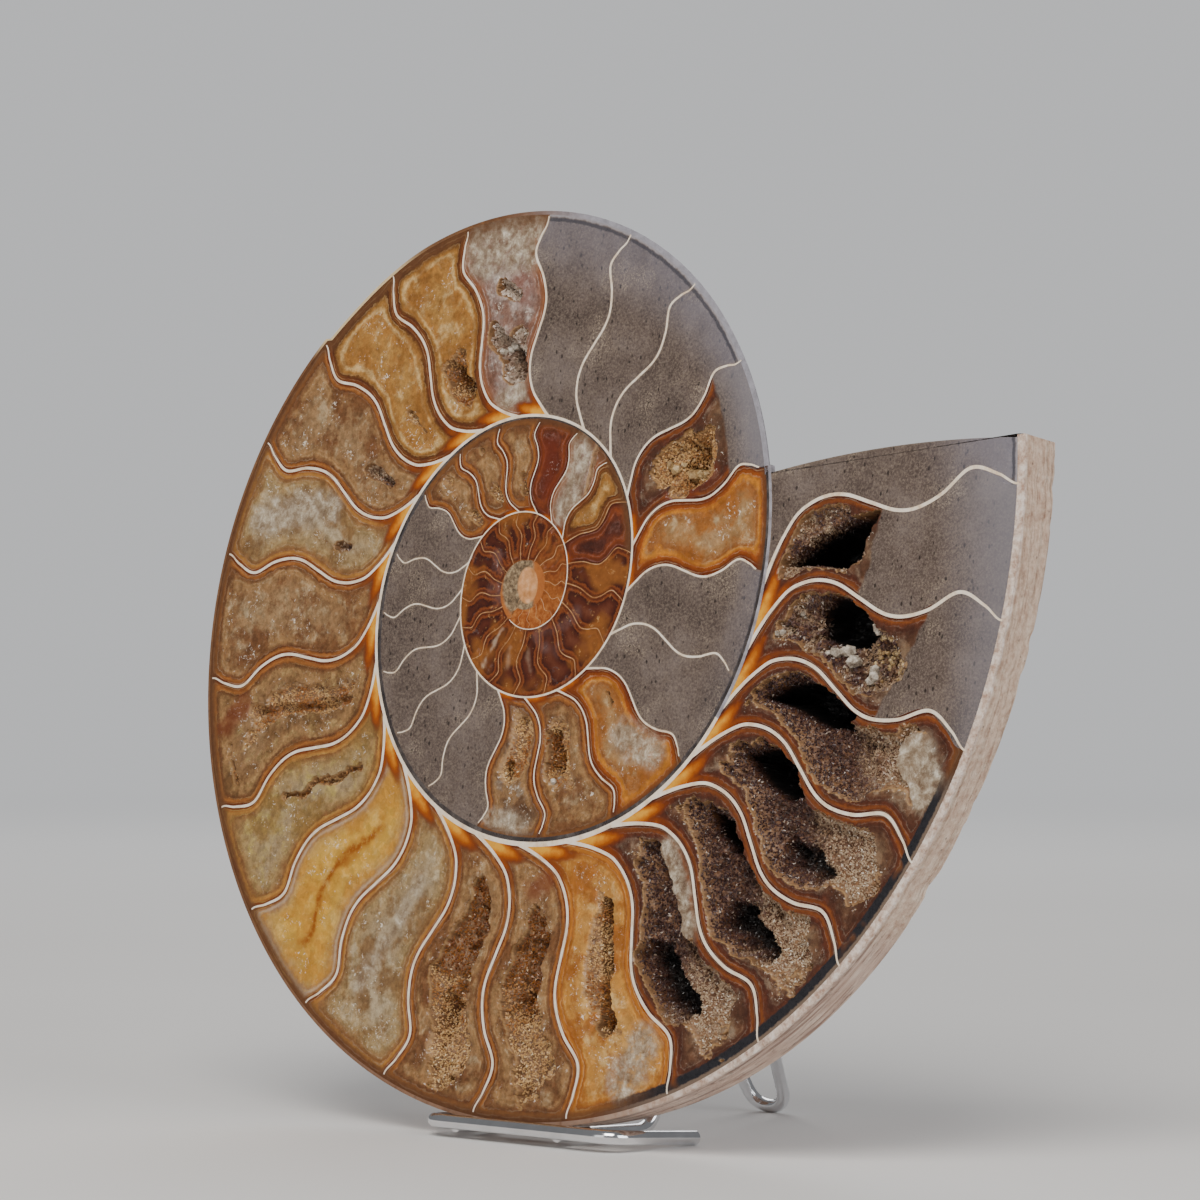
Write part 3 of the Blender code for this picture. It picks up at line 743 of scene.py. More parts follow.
def shell_finish():
    """Outside of the shell: pinkish beige at the mouth, browner with age, cracked along its rim."""
    f = Finish("outer_shell")
    young = f.limits(f.attribute("turn"), -150.0, -62.0)
    cloud = f.noise(12.0, 5.0, 0.62)
    fresh = f.ramp(cloud, tones((0.3, 160, 128, 110), (0.5, 192, 163, 146), (0.7, 212, 188, 172)))
    old = f.ramp(cloud, tones((0.3, 74, 46, 28), (0.5, 118, 80, 50), (0.7, 160, 124, 86)))
    growth = f.noise(2.6, 5.0, 0.65, 0.0, shell_place(f, 1.0, 0.1))
    colour = f.mix(f.limits(growth, 0.46, 0.70, 0.0, 0.45), f.mix(young, old, fresh), tone(104, 66, 44))
    colour, relief = rim_section(f, colour, young)
    colour = cut_edge(f, worn_flank(f, colour))
    colour = f.mix(f.attribute("mouth"), colour, matrix_colour(f))
    f.bump(f.plus(f.plus(growth, relief), f.noise(0.9, 5.0, 0.75)), 0.3, 0.6)
    return f.done(colour, f.limits(f.noise(4.0), 0.3, 0.7, 0.36, 0.52))


def crystal_finish(name, dark, middle, light, white):
    """Small crystals of a druse: each has its own shade of colour, and the deep ones are darkened with
    painted shade.
    """
    f = Finish(name)
    shade = f.attribute("shade")
    sandy = f.plus(f.times(f.attribute("sand"), 0.68), f.times(shade, 0.34))
    shades = tones((0.02, *dark), (0.38, *middle), (0.74, *light), (0.96, *light), (1.0, *white))
    colour = f.mix(f.limits(shade, 0.95, 0.98, 0.0, 0.6), f.ramp(sandy, shades), tone(*white))
    # painted shade: crystals deeper in a hollow are darkened, to near black
    hollow_shade = (
        (0.0, (1.0, 1.0, 1.0)), (0.16, (0.72, 0.64, 0.58)), (0.30, (0.34, 0.27, 0.24)),
        (0.46, (0.07, 0.055, 0.05)), (1.0, (0.008, 0.006, 0.005)),
    )
    colour = f.mix(1.0, colour, f.ramp(f.limits(f.attribute("deep"), 1.2, 12.5), hollow_shade), "MULTIPLY")
    # painted shade: nearly black in the deepest holes
    colour = f.mix(f.attribute("dark"), colour, tone(6, 4, 4))
    browned = f.mix(1.0, colour, (0.66, 0.50, 0.46), "MULTIPLY")
    colour = f.mix(f.limits(f.noise(3.5), 0.48, 0.66, 0.0, 0.5), colour, browned)
    return f.done(colour, f.limits(shade, 0.3, 1.0, 0.45, 0.18))


def lump_finish(name, shadow, body, light):
    """Rough calcite of the loose lumps."""
    f = Finish(name)
    colour = f.ramp(f.noise(1.4, 6.0, 0.7), tones((0.34, *shadow), (0.5, *body), (0.66, *light)))
    f.bump(f.noise(0.4, 4.0, 0.7), 0.15, 0.6)
    return f.done(colour, f.limits(f.noise(0.9), 0.35, 0.65, 0.25, 0.5))


def chrome_finish():
    """Plated steel wire, with faint drawing marks and smudges."""
    f = Finish("plated_wire")
    smudge = f.noise(6.0, 4.0, 0.6)
    colour = f.ramp(smudge, ((0.3, (0.70, 0.70, 0.71)), (0.7, (0.84, 0.84, 0.86))))
    f.bump(f.noise(0.6, 2.0, 0.5, 0.0, f.stretched(1.0, 0.2, 0.2)), 0.02, 0.2)
    return f.done(colour, f.limits(smudge, 0.35, 0.7, 0.07, 0.16), metallic=1.0)


def floor_finish():
    """Pale floor that fades into the backdrop far from the fossil."""
    f = Finish("pale_floor")
    colour = f.ramp(f.noise(400.0, 2.0), ((0.3, (0.78, 0.77, 0.76)), (0.7, (0.82, 0.81, 0.80))))
    distance = f.node("ShaderNodeVectorMath", {0: f.place}, operation="LENGTH").outputs["Value"]
    far = f.limits(distance, 0.45, 1.7)
    f.put(SKY, f.shader.inputs["Emission Color"])
    f.put(f.times(far, BACKDROP), f.shader.inputs["Emission Strength"])
    return f.done(f.mix(far, colour, (0.0, 0.0, 0.0)), 0.8, specular=0.0)


class Wiring:
    """A Geometry Nodes tree with named inputs."""

    def __init__(self, name, sockets):
        self.tree = bpy.data.node_groups.new(name, "GeometryNodeTree")
        face = self.tree.interface
        face.new_socket("Geometry", in_out="OUTPUT", socket_type="NodeSocketGeometry")
        face.new_socket("Geometry", in_out="INPUT", socket_type="NodeSocketGeometry")
        for label, kind in sockets:
            face.new_socket(label, in_out="INPUT", socket_type="NodeSocket" + kind)
        self.given = self.tree.nodes.new("NodeGroupInput").outputs
        self.result = self.tree.nodes.new("NodeGroupOutput")

    def node(self, kind, inputs, **settings):
        made = self.tree.nodes.new(kind)
        for key, value in settings.items():
            setattr(made, key, value)
        for key, value in inputs.items():
            if isinstance(value, bpy.types.NodeSocket):
                self.tree.links.new(value, made.inputs[key])
            else:
                made.inputs[key].default_value = value
        return made

    def half_width(self):
        """The half width that each point of the source mesh carries."""
        inputs = {"Name": "half_width"}
        return self.node("GeometryNodeInputNamedAttribute", inputs, data_type="FLOAT").outputs["Attribute"]

    def chance(self, low, high, seed):
        """A random vector where low is one, or else a random number, for each point."""
        if isinstance(low, tuple):
            inputs = {0: low, 1: high, "Seed": seed}
            return self.node("FunctionNodeRandomValue", inputs, data_type="FLOAT_VECTOR").outputs[0]
        inputs = {2: low, 3: high, "Seed": seed}
        return self.node("FunctionNodeRandomValue", inputs, data_type="FLOAT").outputs[1]

    def copies(self, points, shape, turn, scale):
        inputs = {"Points": points, "Instance": shape, "Rotation": turn, "Scale": scale}
        return self.node("GeometryNodeInstanceOnPoints", inputs).outputs[0]

    def close(self, geometry):
        real = self.node("GeometryNodeRealizeInstances", {0: geometry}).outputs[0]
        inputs = {"Geometry": real, "Material": self.given["Finish"]}
        dressed = self.node("GeometryNodeSetMaterial", inputs).outputs[0]
        self.tree.links.new(dressed, self.result.inputs[0])
        return self.tree


def inlay_tree():
    """A flat strip along a line, as wide as the line's half_width says, given a thickness."""
    w = Wiring("inlaid_strip", (("Thickness", "Float"), ("Proud", "Float"), ("Finish", "Material")))
    curve = w.node("GeometryNodeMeshToCurve", {0: w.given["Geometry"]}).outputs[0]
    level = w.node("GeometryNodeSetCurveNormal", {"Curve": curve}, mode="Z_UP").outputs[0]
    across = w.node("GeometryNodeCurvePrimitiveLine", {0: (-1, 0, 0), 1: (1, 0, 0)}).outputs[0]
    inputs = {"Curve": level, "Profile Curve": across, "Scale": w.half_width()}
    strip = w.node("GeometryNodeCurveToMesh", inputs).outputs[0]
    lift = w.node("ShaderNodeMath", {0: w.given["Proud"], 1: -1.0}, operation="MULTIPLY").outputs[0]
    up = w.node("ShaderNodeCombineXYZ", {2: lift}).outputs[0]
    strip = w.node("GeometryNodeSetPosition", {"Geometry": strip, "Offset": up}).outputs[0]
    inputs = {"Mesh": strip, "Offset": (0, 0, 1), "Offset Scale": w.given["Thickness"], "Individual": False}
    back = w.node("GeometryNodeExtrudeMesh", inputs).outputs[0]
    front = w.node("GeometryNodeFlipFaces", {0: strip}).outputs[0]
    both = w.node("GeometryNodeJoinGeometry", {})
    w.tree.links.new(back, both.inputs[0])
    w.tree.links.new(front, both.inputs[0])
    inputs = {"Geometry": both.outputs[0], "Distance": 0.001}
    return w.close(w.node("GeometryNodeMergeByDistance", inputs).outputs[0])


def druse_tree():
    """Small pointed crystals grown over the walls of a hollow."""
    sizes = (("Density", "Float"), ("Smallest", "Float"), ("Largest", "Float"))
    w = Wiring("druse", (*sizes, ("Seed", "Int"), ("Finish", "Material")))
    seed = w.given["Seed"]
    inputs = {"Mesh": w.given["Geometry"], "Density": w.given["Density"], "Seed": seed}
    spread = w.node("GeometryNodeDistributePointsOnFaces", inputs)
    cone = {"Vertices": 5, "Radius Top": 0.0, "Radius Bottom": 0.52, "Depth": 1.25}
    crystal = w.node("GeometryNodeMeshCone", cone).outputs["Mesh"]
    sunk = w.node("GeometryNodeTransform", {"Geometry": crystal, "Translation": (0, 0, -0.35)}).outputs[0]
    inputs = {0: spread.outputs["Rotation"], 1: w.chance((-0.8, -0.8, -3.1), (0.8, 0.8, 3.1), seed)}
    turned = w.node("FunctionNodeRotateRotation", inputs, rotation_space="LOCAL").outputs[0]
    size = w.chance(w.given["Smallest"], w.given["Largest"], seed)
    crystals = w.copies(spread.outputs["Points"], sunk, turned, size)
    inputs = {"Geometry": crystals, "Name": "shade", "Value": w.chance(0.0, 1.0, 7)}
    settings = {"domain": "INSTANCE", "data_type": "FLOAT"}
    return w.close(w.node("GeometryNodeStoreNamedAttribute", inputs, **settings).outputs[0])


def lump_tree():
    """Turned, uneven crystal lumps, as large as each point's half_width says."""
    w = Wiring("loose_lumps", (("Seed", "Int"), ("Finish", "Material")))
    lump = w.node("GeometryNodeMeshIcoSphere", {"Radius": 0.5, "Subdivisions": 1}).outputs["Mesh"]
    turn = w.chance((-3.1, -3.1, -3.1), (3.1, 3.1, 3.1), w.given["Seed"])
    uneven = w.chance((0.8, 0.6, 0.6), (1.3, 1.0, 0.9), w.given["Seed"])
    scale = w.node("ShaderNodeVectorMath", {0: w.half_width(), 1: uneven}, operation="MULTIPLY").outputs[0]
    return w.close(w.copies(w.given["Geometry"], lump, turn, scale))


def wire_tree():
    """A round bar along a line, with flat ends."""
    w = Wiring("round_wire", (("Radius", "Float"), ("Finish", "Material")))
    curve = w.node("GeometryNodeMeshToCurve", {0: w.given["Geometry"]}).outputs[0]
    inputs = {"Resolution": 32, "Radius": w.given["Radius"]}
    ring = w.node("GeometryNodeCurvePrimitiveCircle", inputs).outputs[0]
    inputs = {"Curve": curve, "Profile Curve": ring, "Fill Caps": True}
    return w.close(w.node("GeometryNodeCurveToMesh", inputs).outputs[0])


def grown(name, source, tree, values):
    """The mesh that a tree makes from a source mesh, with its modifier gone."""
    holder = bpy.data.objects.new(name, source)
    bpy.context.scene.collection.objects.link(holder)
    modifier = holder.modifiers.new(name, "NODES")
    modifier.node_group = tree
    for socket in tree.interface.items_tree:
        if socket.in_out == "INPUT" and socket.name in values:
            modifier[socket.identifier] = values[socket.name]
    shown = holder.evaluated_get(bpy.context.evaluated_depsgraph_get())
    result = bpy.data.meshes.new_from_object(shown)
    holder.modifiers.clear()
    bpy.data.objects.remove(holder)
    return result


def finish_piece(name, mesh, place=None, smooth=None, whole=True):
    """Sets a mesh made in face millimetres in its place as a finished piece on the fossil."""
    mesh.name = name
    mesh.transform(place or FACE)
    work = bmesh.new()
    work.from_mesh(mesh)
    if whole and work.calc_volume(signed=True) < 0:
        bmesh.ops.reverse_faces(work, faces=work.faces)
    elif not whole:
        bmesh.ops.recalc_face_normals(work, faces=work.faces)
    work.to_mesh(mesh)
    work.free()
    if smooth is None:
        mesh.shade_flat()
    else:
        mesh.shade_smooth()
        mesh.set_sharp_from_angle(angle=math.radians(smooth))
    piece = bpy.data.objects.new(name, mesh)
    bpy.context.scene.collection.objects.link(piece)
    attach(piece, "root")
    return piece


def mesh_of(name, points, edges, faces):
    mesh = bpy.data.meshes.new(name)
    mesh.from_pydata(points, edges, faces)
    return mesh


def store(mesh, label, values, domain="POINT"):
    """Stores one number for each point or face of a mesh."""
    data = mesh.attributes.new(label, "FLOAT", domain).data
    data.foreach_set("value", np.asarray(values, np.float32).ravel())


def line_mesh(name, lines, widths):
    """A mesh of open lines, each with its half width."""
    points, edges, values = [], [], []
    for line, width in zip(lines, widths):
        first = len(points)
        points += [(*p, 0.0) if len(p) == 2 else tuple(p) for p in line]
        values += list(np.broadcast_to(width, len(line)))
        edges += [(first + k, first + k + 1) for k in range(len(line) - 1)]
    mesh = mesh_of(name, points, edges, [])
    store(mesh, "half_width", values)
    return mesh


def grid_quads(rows, columns, around=False):
    """Corner numbers of a grid of quads whose rows grow outwards and whose columns grow with the angle."""
    i, j = np.meshgrid(np.arange(rows - 1), np.arange(columns if around else columns - 1), indexing="ij")
    after = (j + 1) % columns
    corners = (i * columns + j, i * columns + after, (i + 1) * columns + after, (i + 1) * columns + j)
    return np.stack(corners, -1).reshape(-1, 4)


def fan(centre, ring, after):
    """Triangles from a centre point to each side of a ring."""
    return np.stack([np.full(len(ring), centre), ring, after], -1).tolist()


def slab_mesh(name, flat, top, thickness, attributes):
    """A closed slab over a grid of face points: its front follows top, its back lies a thickness behind."""
    rows, columns = top.shape
    count = rows * columns
    front = np.concatenate([flat.reshape(-1, 2), top.reshape(-1, 1)], 1)
    back = front + (0.0, 0.0, thickness)
    quads = grid_quads(rows, columns)
    index = np.arange(count).reshape(rows, columns)
    ring = np.concatenate([index[0, :], index[1:, -1], index[-1, -2::-1], index[-2:0:-1, 0]])
    after = np.roll(ring, -1)
    sides = np.stack([ring, ring + count, after + count, after], -1)
    faces = np.concatenate([quads, quads[:, ::-1] + count, sides])
    mesh = mesh_of(name, np.concatenate([front, back]).tolist(), [], faces.tolist())
    for label, values in attributes.items():
        store(mesh, label, np.tile(np.ravel(values), 2))
    return mesh


def distance_to(points, line):
    """Distance in mm from each point to a densely sampled line."""
    flat = points.reshape(-1, 2)
    nearest = np.full(len(flat), 1e9)
    for start in range(0, len(line), 200):
        gap = flat[:, None, :] - line[None, start : start + 200, :]
        nearest = np.minimum(nearest, (gap**2).sum(-1).min(1))
    return np.sqrt(nearest).reshape(points.shape[:-1])


def traced(points):
    """Face points along a line given as growth angle and height."""
    angles, heights = np.array(points, float).T
    corners = range(len(points))
    share = np.linspace(0, len(points) - 1, 60 * (len(points) - 1) + 1)
    return face_point(np.interp(share, corners, angles), np.interp(share, corners, heights))


def inside_outline(points, corners):
    """Distance in mm into a closed outline, negative outside it."""
    corners = np.array(corners, float)
    after = np.roll(corners, -1, 0)
    steps = np.linspace(0, 1, 40)[:, None, None]
    line = (corners * (1 - steps) + after * steps).reshape(-1, 2)
    x, y = points[..., 0], points[..., 1]
    within = np.zeros(x.shape, bool)
    for (x0, y0), (x1, y1) in zip(corners, after):
        if y0 != y1:
            within ^= ((y0 > y) != (y1 > y)) & (x < (x1 - x0) * (y - y0) / (y1 - y0) + x0)
    return np.where(within, 1.0, -1.0) * distance_to(points, line)


def rough_field(flat, size, depth=0.0, octaves=4):
    """Fractal noise over face points, about -1 to 1."""
    points = flat.reshape(-1, 2) / size
    values = [noise.fractal((x, y, depth), 1.0, 2.1, octaves) for x, y in points.tolist()]
    return np.array(values).reshape(flat.shape[:-1])


def sunk(inside, depth, slope):
    """Depth of a hollow whose wall falls off over slope mm from its edge."""
    return depth * (1 - np.exp(-np.maximum(inside, 0) / slope))


class Chamber:
    """Face grid of one chamber, with its distances to walls and the shape of its hollows."""

    def __init__(self, front, cell):
        self.front = front
        heights = np.linspace(0, 1, 41)
        middle = (septum_angle(front, heights) + septum_angle(front + 1, heights)) / 2
        self.tall = np.linalg.norm(np.diff(face_point(middle, heights), axis=0), axis=1).sum()
        widest = np.array([0.9])
        ends = [face_point(septum_angle(index, widest), widest) for index in (front, front + 1)]
        self.broad = np.linalg.norm(ends[0] - ends[1])
        rows, columns = max(8, int(self.tall / cell) + 1), max(6, int(self.broad / cell) + 1)
        self.across, self.height = np.meshgrid(np.linspace(0, 1, columns), np.linspace(0, 1, rows))
        older, newer = (septum_angle(index, self.height[:, :1]) for index in (front + 1, front))
        self.angle = older * (1 - self.across) + newer * self.across
        inner = wall_radius(self.angle - 360)
        self.flat = polar(inner + (self.rim(self.angle) - inner) * self.height, self.angle)
        fine = np.linspace(0, 1, 500)
        sides = (face_point(septum_angle(index, fine), fine) for index in (front + 1, front))
        self.to_older, self.to_newer = (distance_to(self.flat, side) for side in sides)
        foot, top = (np.interp(fine, [0, 1], self.angle[row, [0, -1]]) for row in (0, -1))
        self.to_foot = distance_to(self.flat, polar(wall_radius(foot - 360), foot))
        self.to_top = distance_to(self.flat, polar(self.rim(top), top))

    def rim(self, angle):
        """Radius of the chamber's outer wall, which lies inside the shell at the rim."""
        if self.front > LAST_RIM_CHAMBER:
            return wall_radius(angle)
        return wall_radius(angle) - np.where(angle > START_ANGLE, shell_width(angle) + rim_notch(angle), 0.2)

    def edge(self, ends=1.0):
        """Distance to the nearest wall, with rounded corners. The foot and top count by the factor ends."""
        parts = (self.to_older, self.to_newer, self.to_foot * ends, self.to_top * ends)
        return sum((d + 0.05) ** -4.0 for d in parts) ** -0.25

    def near(self, points, half_width, soft):
        """1 inside a patch along a line and 0 outside, with an edge of soft mm."""
        inside = half_width + self.wobble * 0.9 - distance_to(self.flat, traced(points))
        return smooth_step(inside / soft + 0.5)

    def patches(self, table, soft):
        """1 inside this chamber's patches of a table."""
        level = np.zeros_like(self.height)
        for points, half_width in rows_of(table, self.front):
            level = np.maximum(level, self.near(points, half_width, soft))
        return level

    def room(self, crumb, across0, across1, height0, height1, depth, slope):
        """Depth of one hollow that fills a rounded part of the chamber."""
        half = (across1 - across0) / 2
        u = np.abs(self.across - (across0 + across1) / 2) / half
        v = np.abs(self.height - (height0 + height1) / 2) / ((height1 - height0) / 2)
        out = (u**ROOM_SQUARENESS + v**ROOM_SQUARENESS) ** (1 / ROOM_SQUARENESS)
        inside = (1 - out) * half * self.broad + self.wobble * 1.1 + crumb * 0.4
        lumps = 1 + 0.35 * self.wobble + 0.18 * crumb
        if self.front in SLOPING_DRUSE:
            shallow_top = 1.15 - 0.45 * smooth_step((self.height - 0.45) / 0.4)
            lumps = lumps * (0.45 + 0.75 * self.across) * shallow_top
        return sunk(inside, depth * lumps, slope)

    def carve(self):
        """Depth of the hollows below the face."""
        self.wobble = rough_field(self.flat, 3.2, self.front * 3.7)
        crumb = rough_field(self.flat, 1.1, self.front * 5.1 + 40, 3)
        deep = np.zeros_like(self.height)
        for room in rows_of(ROOMS, self.front):
            deep = np.maximum(deep, self.room(crumb, *room))
        for points, half_width, depth, slope in rows_of(HOLES, self.front):
            inside = half_width + self.wobble * 0.8 + crumb * 0.35 - distance_to(self.flat, traced(points))
            deep = deep + sunk(inside, depth, slope)
        dark = np.zeros_like(deep)
        for depth, slope, corners in rows_of(OUTLINED_HOLES, self.front):
            inside = inside_outline(self.flat, corners) + 0.45 + self.wobble * 0.3 + crumb * 0.3
            deep = deep + sunk(inside, depth, slope)
            # painted shade: nearly black inside the outlined holes
            dark = np.maximum(dark, smooth_step((inside - 0.1) / 0.45) * 0.97)
        self.pale = self.patches(PALE_PATCHES, PALE_SOFTNESS)
        guard = smooth_step((self.edge() - 0.35) / 0.5)
        self.dark = dark * guard
        self.deep = deep * guard * (1 - smooth_step((self.pale - 0.3) / 0.4))
        # painted shade of the hollows: the depth that darkens their finish, weaker in chamber 22 and the
        # amber druse
        self.hollow_shade = self.deep * (0.38 if self.front == 22 else 0.5 if self.front in AMBER_DRUSE else 1.0)

    def sand(self):
        """Where the crystals are pale and sandy, 1, or dark and purplish, 0."""
        if self.front in SLOPING_DRUSE:
            slope = self.height - 0.50 + 0.35 * (self.across - 0.45)
            return smooth_step(slope / 0.26 + 0.35 * self.wobble)
        if self.front == 22:
            return np.clip(0.75 + 0.4 * self.wobble, 0.3, 1.0)
        if self.front in (7, 8):
            return smooth_step((self.height - 0.60) / 0.3 + 0.5 + 0.6 * self.wobble)
        return smooth_step(0.55 + 0.8 * self.wobble)

    def stone(self):
        """1 where grey matrix fills the chamber."""
        if self.front not in MATRIX_TOPS:
            return np.full_like(self.height, float(self.front in STONE_CHAMBERS))
        low, high = MATRIX_TOPS[self.front]
        line = low + (high - low) * self.across + self.wobble * 0.015
        level = smooth_step((self.height - line) * self.tall / 0.8)
        return np.where(self.deep > 0.3, 0.0, level)

    def glow(self):
        """Strength of the orange at the foot of the older septum."""
        reach, strength = (0.105, 1.0) if self.front <= LAST_OUTER_SEPTUM else (0.085, 0.75)
        foot = smooth_step((reach - self.height) / 0.09) * smooth_step((0.95 - self.across) / 0.6)
        tail = smooth_step((0.26 - self.height) / 0.2) * smooth_step((2.6 - self.to_older) / 1.8)
        return np.maximum(foot, tail * 0.45) * strength

    def sheen(self):
        """Strength of the painted sheen of reflected light."""
        near_rim = smooth_step(1 - self.to_top / straight_curve(SHEEN_REACH, self.angle))
        return near_rim * straight_curve(SHEEN_STRENGTH, self.angle)

    def attributes(self):
        """What the chamber's finish reads at each point."""
        stone = self.stone()
        slate = smooth_step((self.angle + 82.0) / 12.0) * smooth_step((-24.0 - self.angle) / 4.0)
        # deep carries the hollows' painted shade depth, the sheen is a painted reflection, and dark is the
        # painted black of the deepest holes
        return {
            "edge": self.edge(0.8), "height": self.height, "across": self.across, "deep": self.hollow_shade,
            "glow": self.glow() * (1 - stone), "stone": stone, "pale": self.pale * 0.9,
            "red": self.patches(RED_PATCHES, RED_SOFTNESS) * 0.6, "slate": slate,
            "rimward": self.to_top, "painted_sheen": self.sheen(), "dark": self.dark,
        }


def crystal_ground(chamber):
    """The hollowed part of a chamber's front, for crystals to grow on."""
    quads = grid_quads(*chamber.height.shape)
    deep, dark = chamber.deep.ravel(), chamber.dark.ravel()
    quads = quads[(deep[quads] > LEAST_HOLLOW).all(1) & (dark[quads] < 0.6).all(1)]
    used, numbers = np.unique(quads, return_inverse=True)
    points = np.concatenate([chamber.flat.reshape(-1, 2), chamber.deep.reshape(-1, 1)], 1)[used]
    mesh = mesh_of("crystal_ground", points.tolist(), [], numbers.reshape(-1, 4).tolist())
    # deep carries the hollows' painted shade depth, and dark the painted black of the deepest holes
    for label, values in (("deep", chamber.hollow_shade), ("sand", chamber.sand()), ("dark", chamber.dark)):
        store(mesh, label, values.ravel()[used])
    return mesh


BROWN = tones(
    (0.0, 58, 24, 15), (0.07, 78, 34, 19), (0.13, 132, 70, 28), (0.19, 92, 44, 23), (0.28, 74, 40, 28),
    (0.42, 104, 72, 50), (0.6, 124, 98, 74), (1.0, 136, 114, 90),
)
HONEY = tones(
    (0.0, 106, 48, 14), (0.06, 140, 72, 20), (0.13, 190, 120, 44), (0.17, 148, 82, 28),
    (0.27, 198, 138, 60), (0.45, 182, 128, 62), (0.7, 200, 150, 80), (1.0, 196, 138, 58),
)
GOLD = tones(
    (0.0, 104, 54, 26), (0.07, 128, 78, 44), (0.12, 186, 160, 132), (0.17, 156, 120, 88),
    (0.26, 190, 150, 84), (0.45, 204, 158, 66), (0.72, 206, 154, 56), (0.9, 178, 116, 36),
    (1.0, 156, 90, 26),
)
OCHRE = tones(
    (0.0, 84, 38, 16), (0.07, 112, 58, 26), (0.13, 76, 38, 18), (0.20, 160, 112, 52),
    (0.25, 206, 170, 112), (0.30, 160, 108, 48), (0.55, 170, 126, 66), (1.0, 180, 138, 78),
)
SMOKE = tones(
    (0.0, 84, 36, 14), (0.06, 120, 58, 22), (0.12, 182, 126, 58), (0.17, 128, 84, 46),
    (0.32, 160, 132, 88), (0.6, 156, 134, 102), (1.0, 176, 156, 124),
)
TAN = tones(
    (0.0, 78, 32, 14), (0.06, 104, 48, 18), (0.12, 164, 102, 46), (0.17, 98, 56, 30),
    (0.28, 154, 116, 74), (0.5, 134, 100, 66), (0.8, 150, 118, 82), (1.0, 160, 130, 94),
)
AMBER = tones(
    (0.0, 78, 28, 12), (0.10, 104, 42, 12), (0.20, 148, 72, 20), (0.28, 196, 126, 42),
    (0.36, 138, 84, 40), (0.6, 158, 118, 74), (1.0, 170, 140, 104),
)
MAUVE = tones(
    (0.0, 98, 42, 18), (0.08, 138, 82, 44), (0.18, 132, 92, 72), (0.4, 134, 108, 98),
    (0.7, 160, 140, 130), (1.0, 178, 160, 150),
)
RUST = tones(
    (0.0, 58, 22, 12), (0.14, 90, 38, 18), (0.34, 126, 60, 26), (0.6, 80, 38, 26), (1.0, 106, 64, 50),
)
# Finish: bands, their reach in mm, veil, stain, grain, middle streak and the chambers by front septum
CHAMBER_FINISHES = {
    "druse_brown_calcite": (BROWN, 8.5, (150, 130, 108), (70, 40, 26), 0.28, 0.0, (0, 1, 2, 3, 4, 5, 22)),
    "honey_calcite": (HONEY, 9.0, (222, 186, 124), (150, 84, 26), 0.14, 0.0, (6,)),
    "tan_calcite": (TAN, 9.0, (184, 160, 124), (100, 60, 32), 0.30, 0.0, (7, 8, 13, 15, 27, 35, 36, 37)),
    "banded_tan_calcite": (TAN, 10.0, (178, 150, 96), (96, 66, 36), 0.30, 0.0, (12,)),
    "smoky_calcite": (SMOKE, 10.0, (192, 174, 142), (118, 84, 48), 0.24, 0.8, (9, 14)),
    "yellow_grey_calcite": (SMOKE, 10.5, (190, 166, 92), (132, 100, 50), 0.26, 0.25, (11,)),
    "golden_calcite": (GOLD, 10.0, (218, 178, 98), (186, 128, 44), 0.12, -1.0, (10,)),
    "ochre_calcite": (OCHRE, 10.5, (204, 172, 118), (140, 92, 40), 0.24, 0.0, (16, 17, 40)),
    "mauve_calcite": (MAUVE, 8.0, (206, 194, 184), (110, 72, 54), 0.34, 0.0, (18, 39)),
    "grey_brown_calcite": (TAN, 8.0, (150, 140, 126), (84, 56, 38), 0.32, 0.0, (28,)),
    "amber_calcite": (AMBER, 7.5, (192, 166, 126), (150, 88, 30), 0.2, 0.0, (23, 26)),
    "rust_calcite": (RUST, 4.0, (150, 110, 96), (60, 26, 16), 0.3, 0.0, (38, 41)),
}
# Shades of the crystals and the lumps, from dark to light
GRAIN_SHADES = ((52, 30, 32), (92, 64, 58), (182, 158, 130), (236, 226, 210))
AMBER_SHADES = ((112, 58, 18), (164, 106, 48), (208, 170, 116), (240, 218, 178))
CLEAR_SHADES = ((120, 92, 72), (178, 160, 142), (218, 204, 188), (246, 240, 230))
WHITE_SHADES = ((112, 98, 84), (176, 164, 148), (228, 220, 206))
TAN_SHADES = ((112, 82, 50), (178, 148, 102), (226, 204, 160))


def chamber_pieces():
    """One slab for each chamber, and the druse of each hollow."""
    tree = druse_tree()
    grains = crystal_finish("druse_crystal", *GRAIN_SHADES)
    amber = crystal_finish("amber_crystal", *AMBER_SHADES)
    clear = crystal_finish("white_crystal", *CLEAR_SHADES)
    finishes = {}
    for name, (*look, fronts) in CHAMBER_FINISHES.items():
        finishes.update(dict.fromkeys(fronts, chamber_finish(name, *look)))
    stone = stone_finish()
    hollowed = {row[0] for row in ROOMS + HOLES}
    chambers = {}
    for front in range(-1, FIRST_INNER_SEPTUM + 1):
        chamber = Chamber(front, HOLLOW_CELL if front in hollowed else PLAIN_CELL)
        chamber.carve()
        chambers[front] = chamber
        name = f"chamber_{front + 2:02d}"
        mesh = slab_mesh(name, chamber.flat, chamber.deep, SLAB_THICKNESS, chamber.attributes())
        mesh.materials.append(finishes.get(front, stone))
        finish_piece(name, mesh)
        if chamber.deep.max() < 1.0:
            continue
        smallest, largest = CRYSTAL_SIZES.get(front, CRYSTAL_SIZE)
        values = {"Density": CRYSTAL_DENSITY, "Smallest": smallest, "Largest": largest, "Seed": 11 + front}
        values["Finish"] = clear if front in CLEAR_DRUSE else amber if front in AMBER_DRUSE else grains
        crust = grown("crust", crystal_ground(chamber), tree, values)
        if not crust.polygons:
            continue
        piece = finish_piece(f"druse_{front + 2:02d}", crust)
        if front in CRUSTED:
            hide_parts(f"chamber_crystals_{CRUSTED.index(front) + 1}")
    return chambers


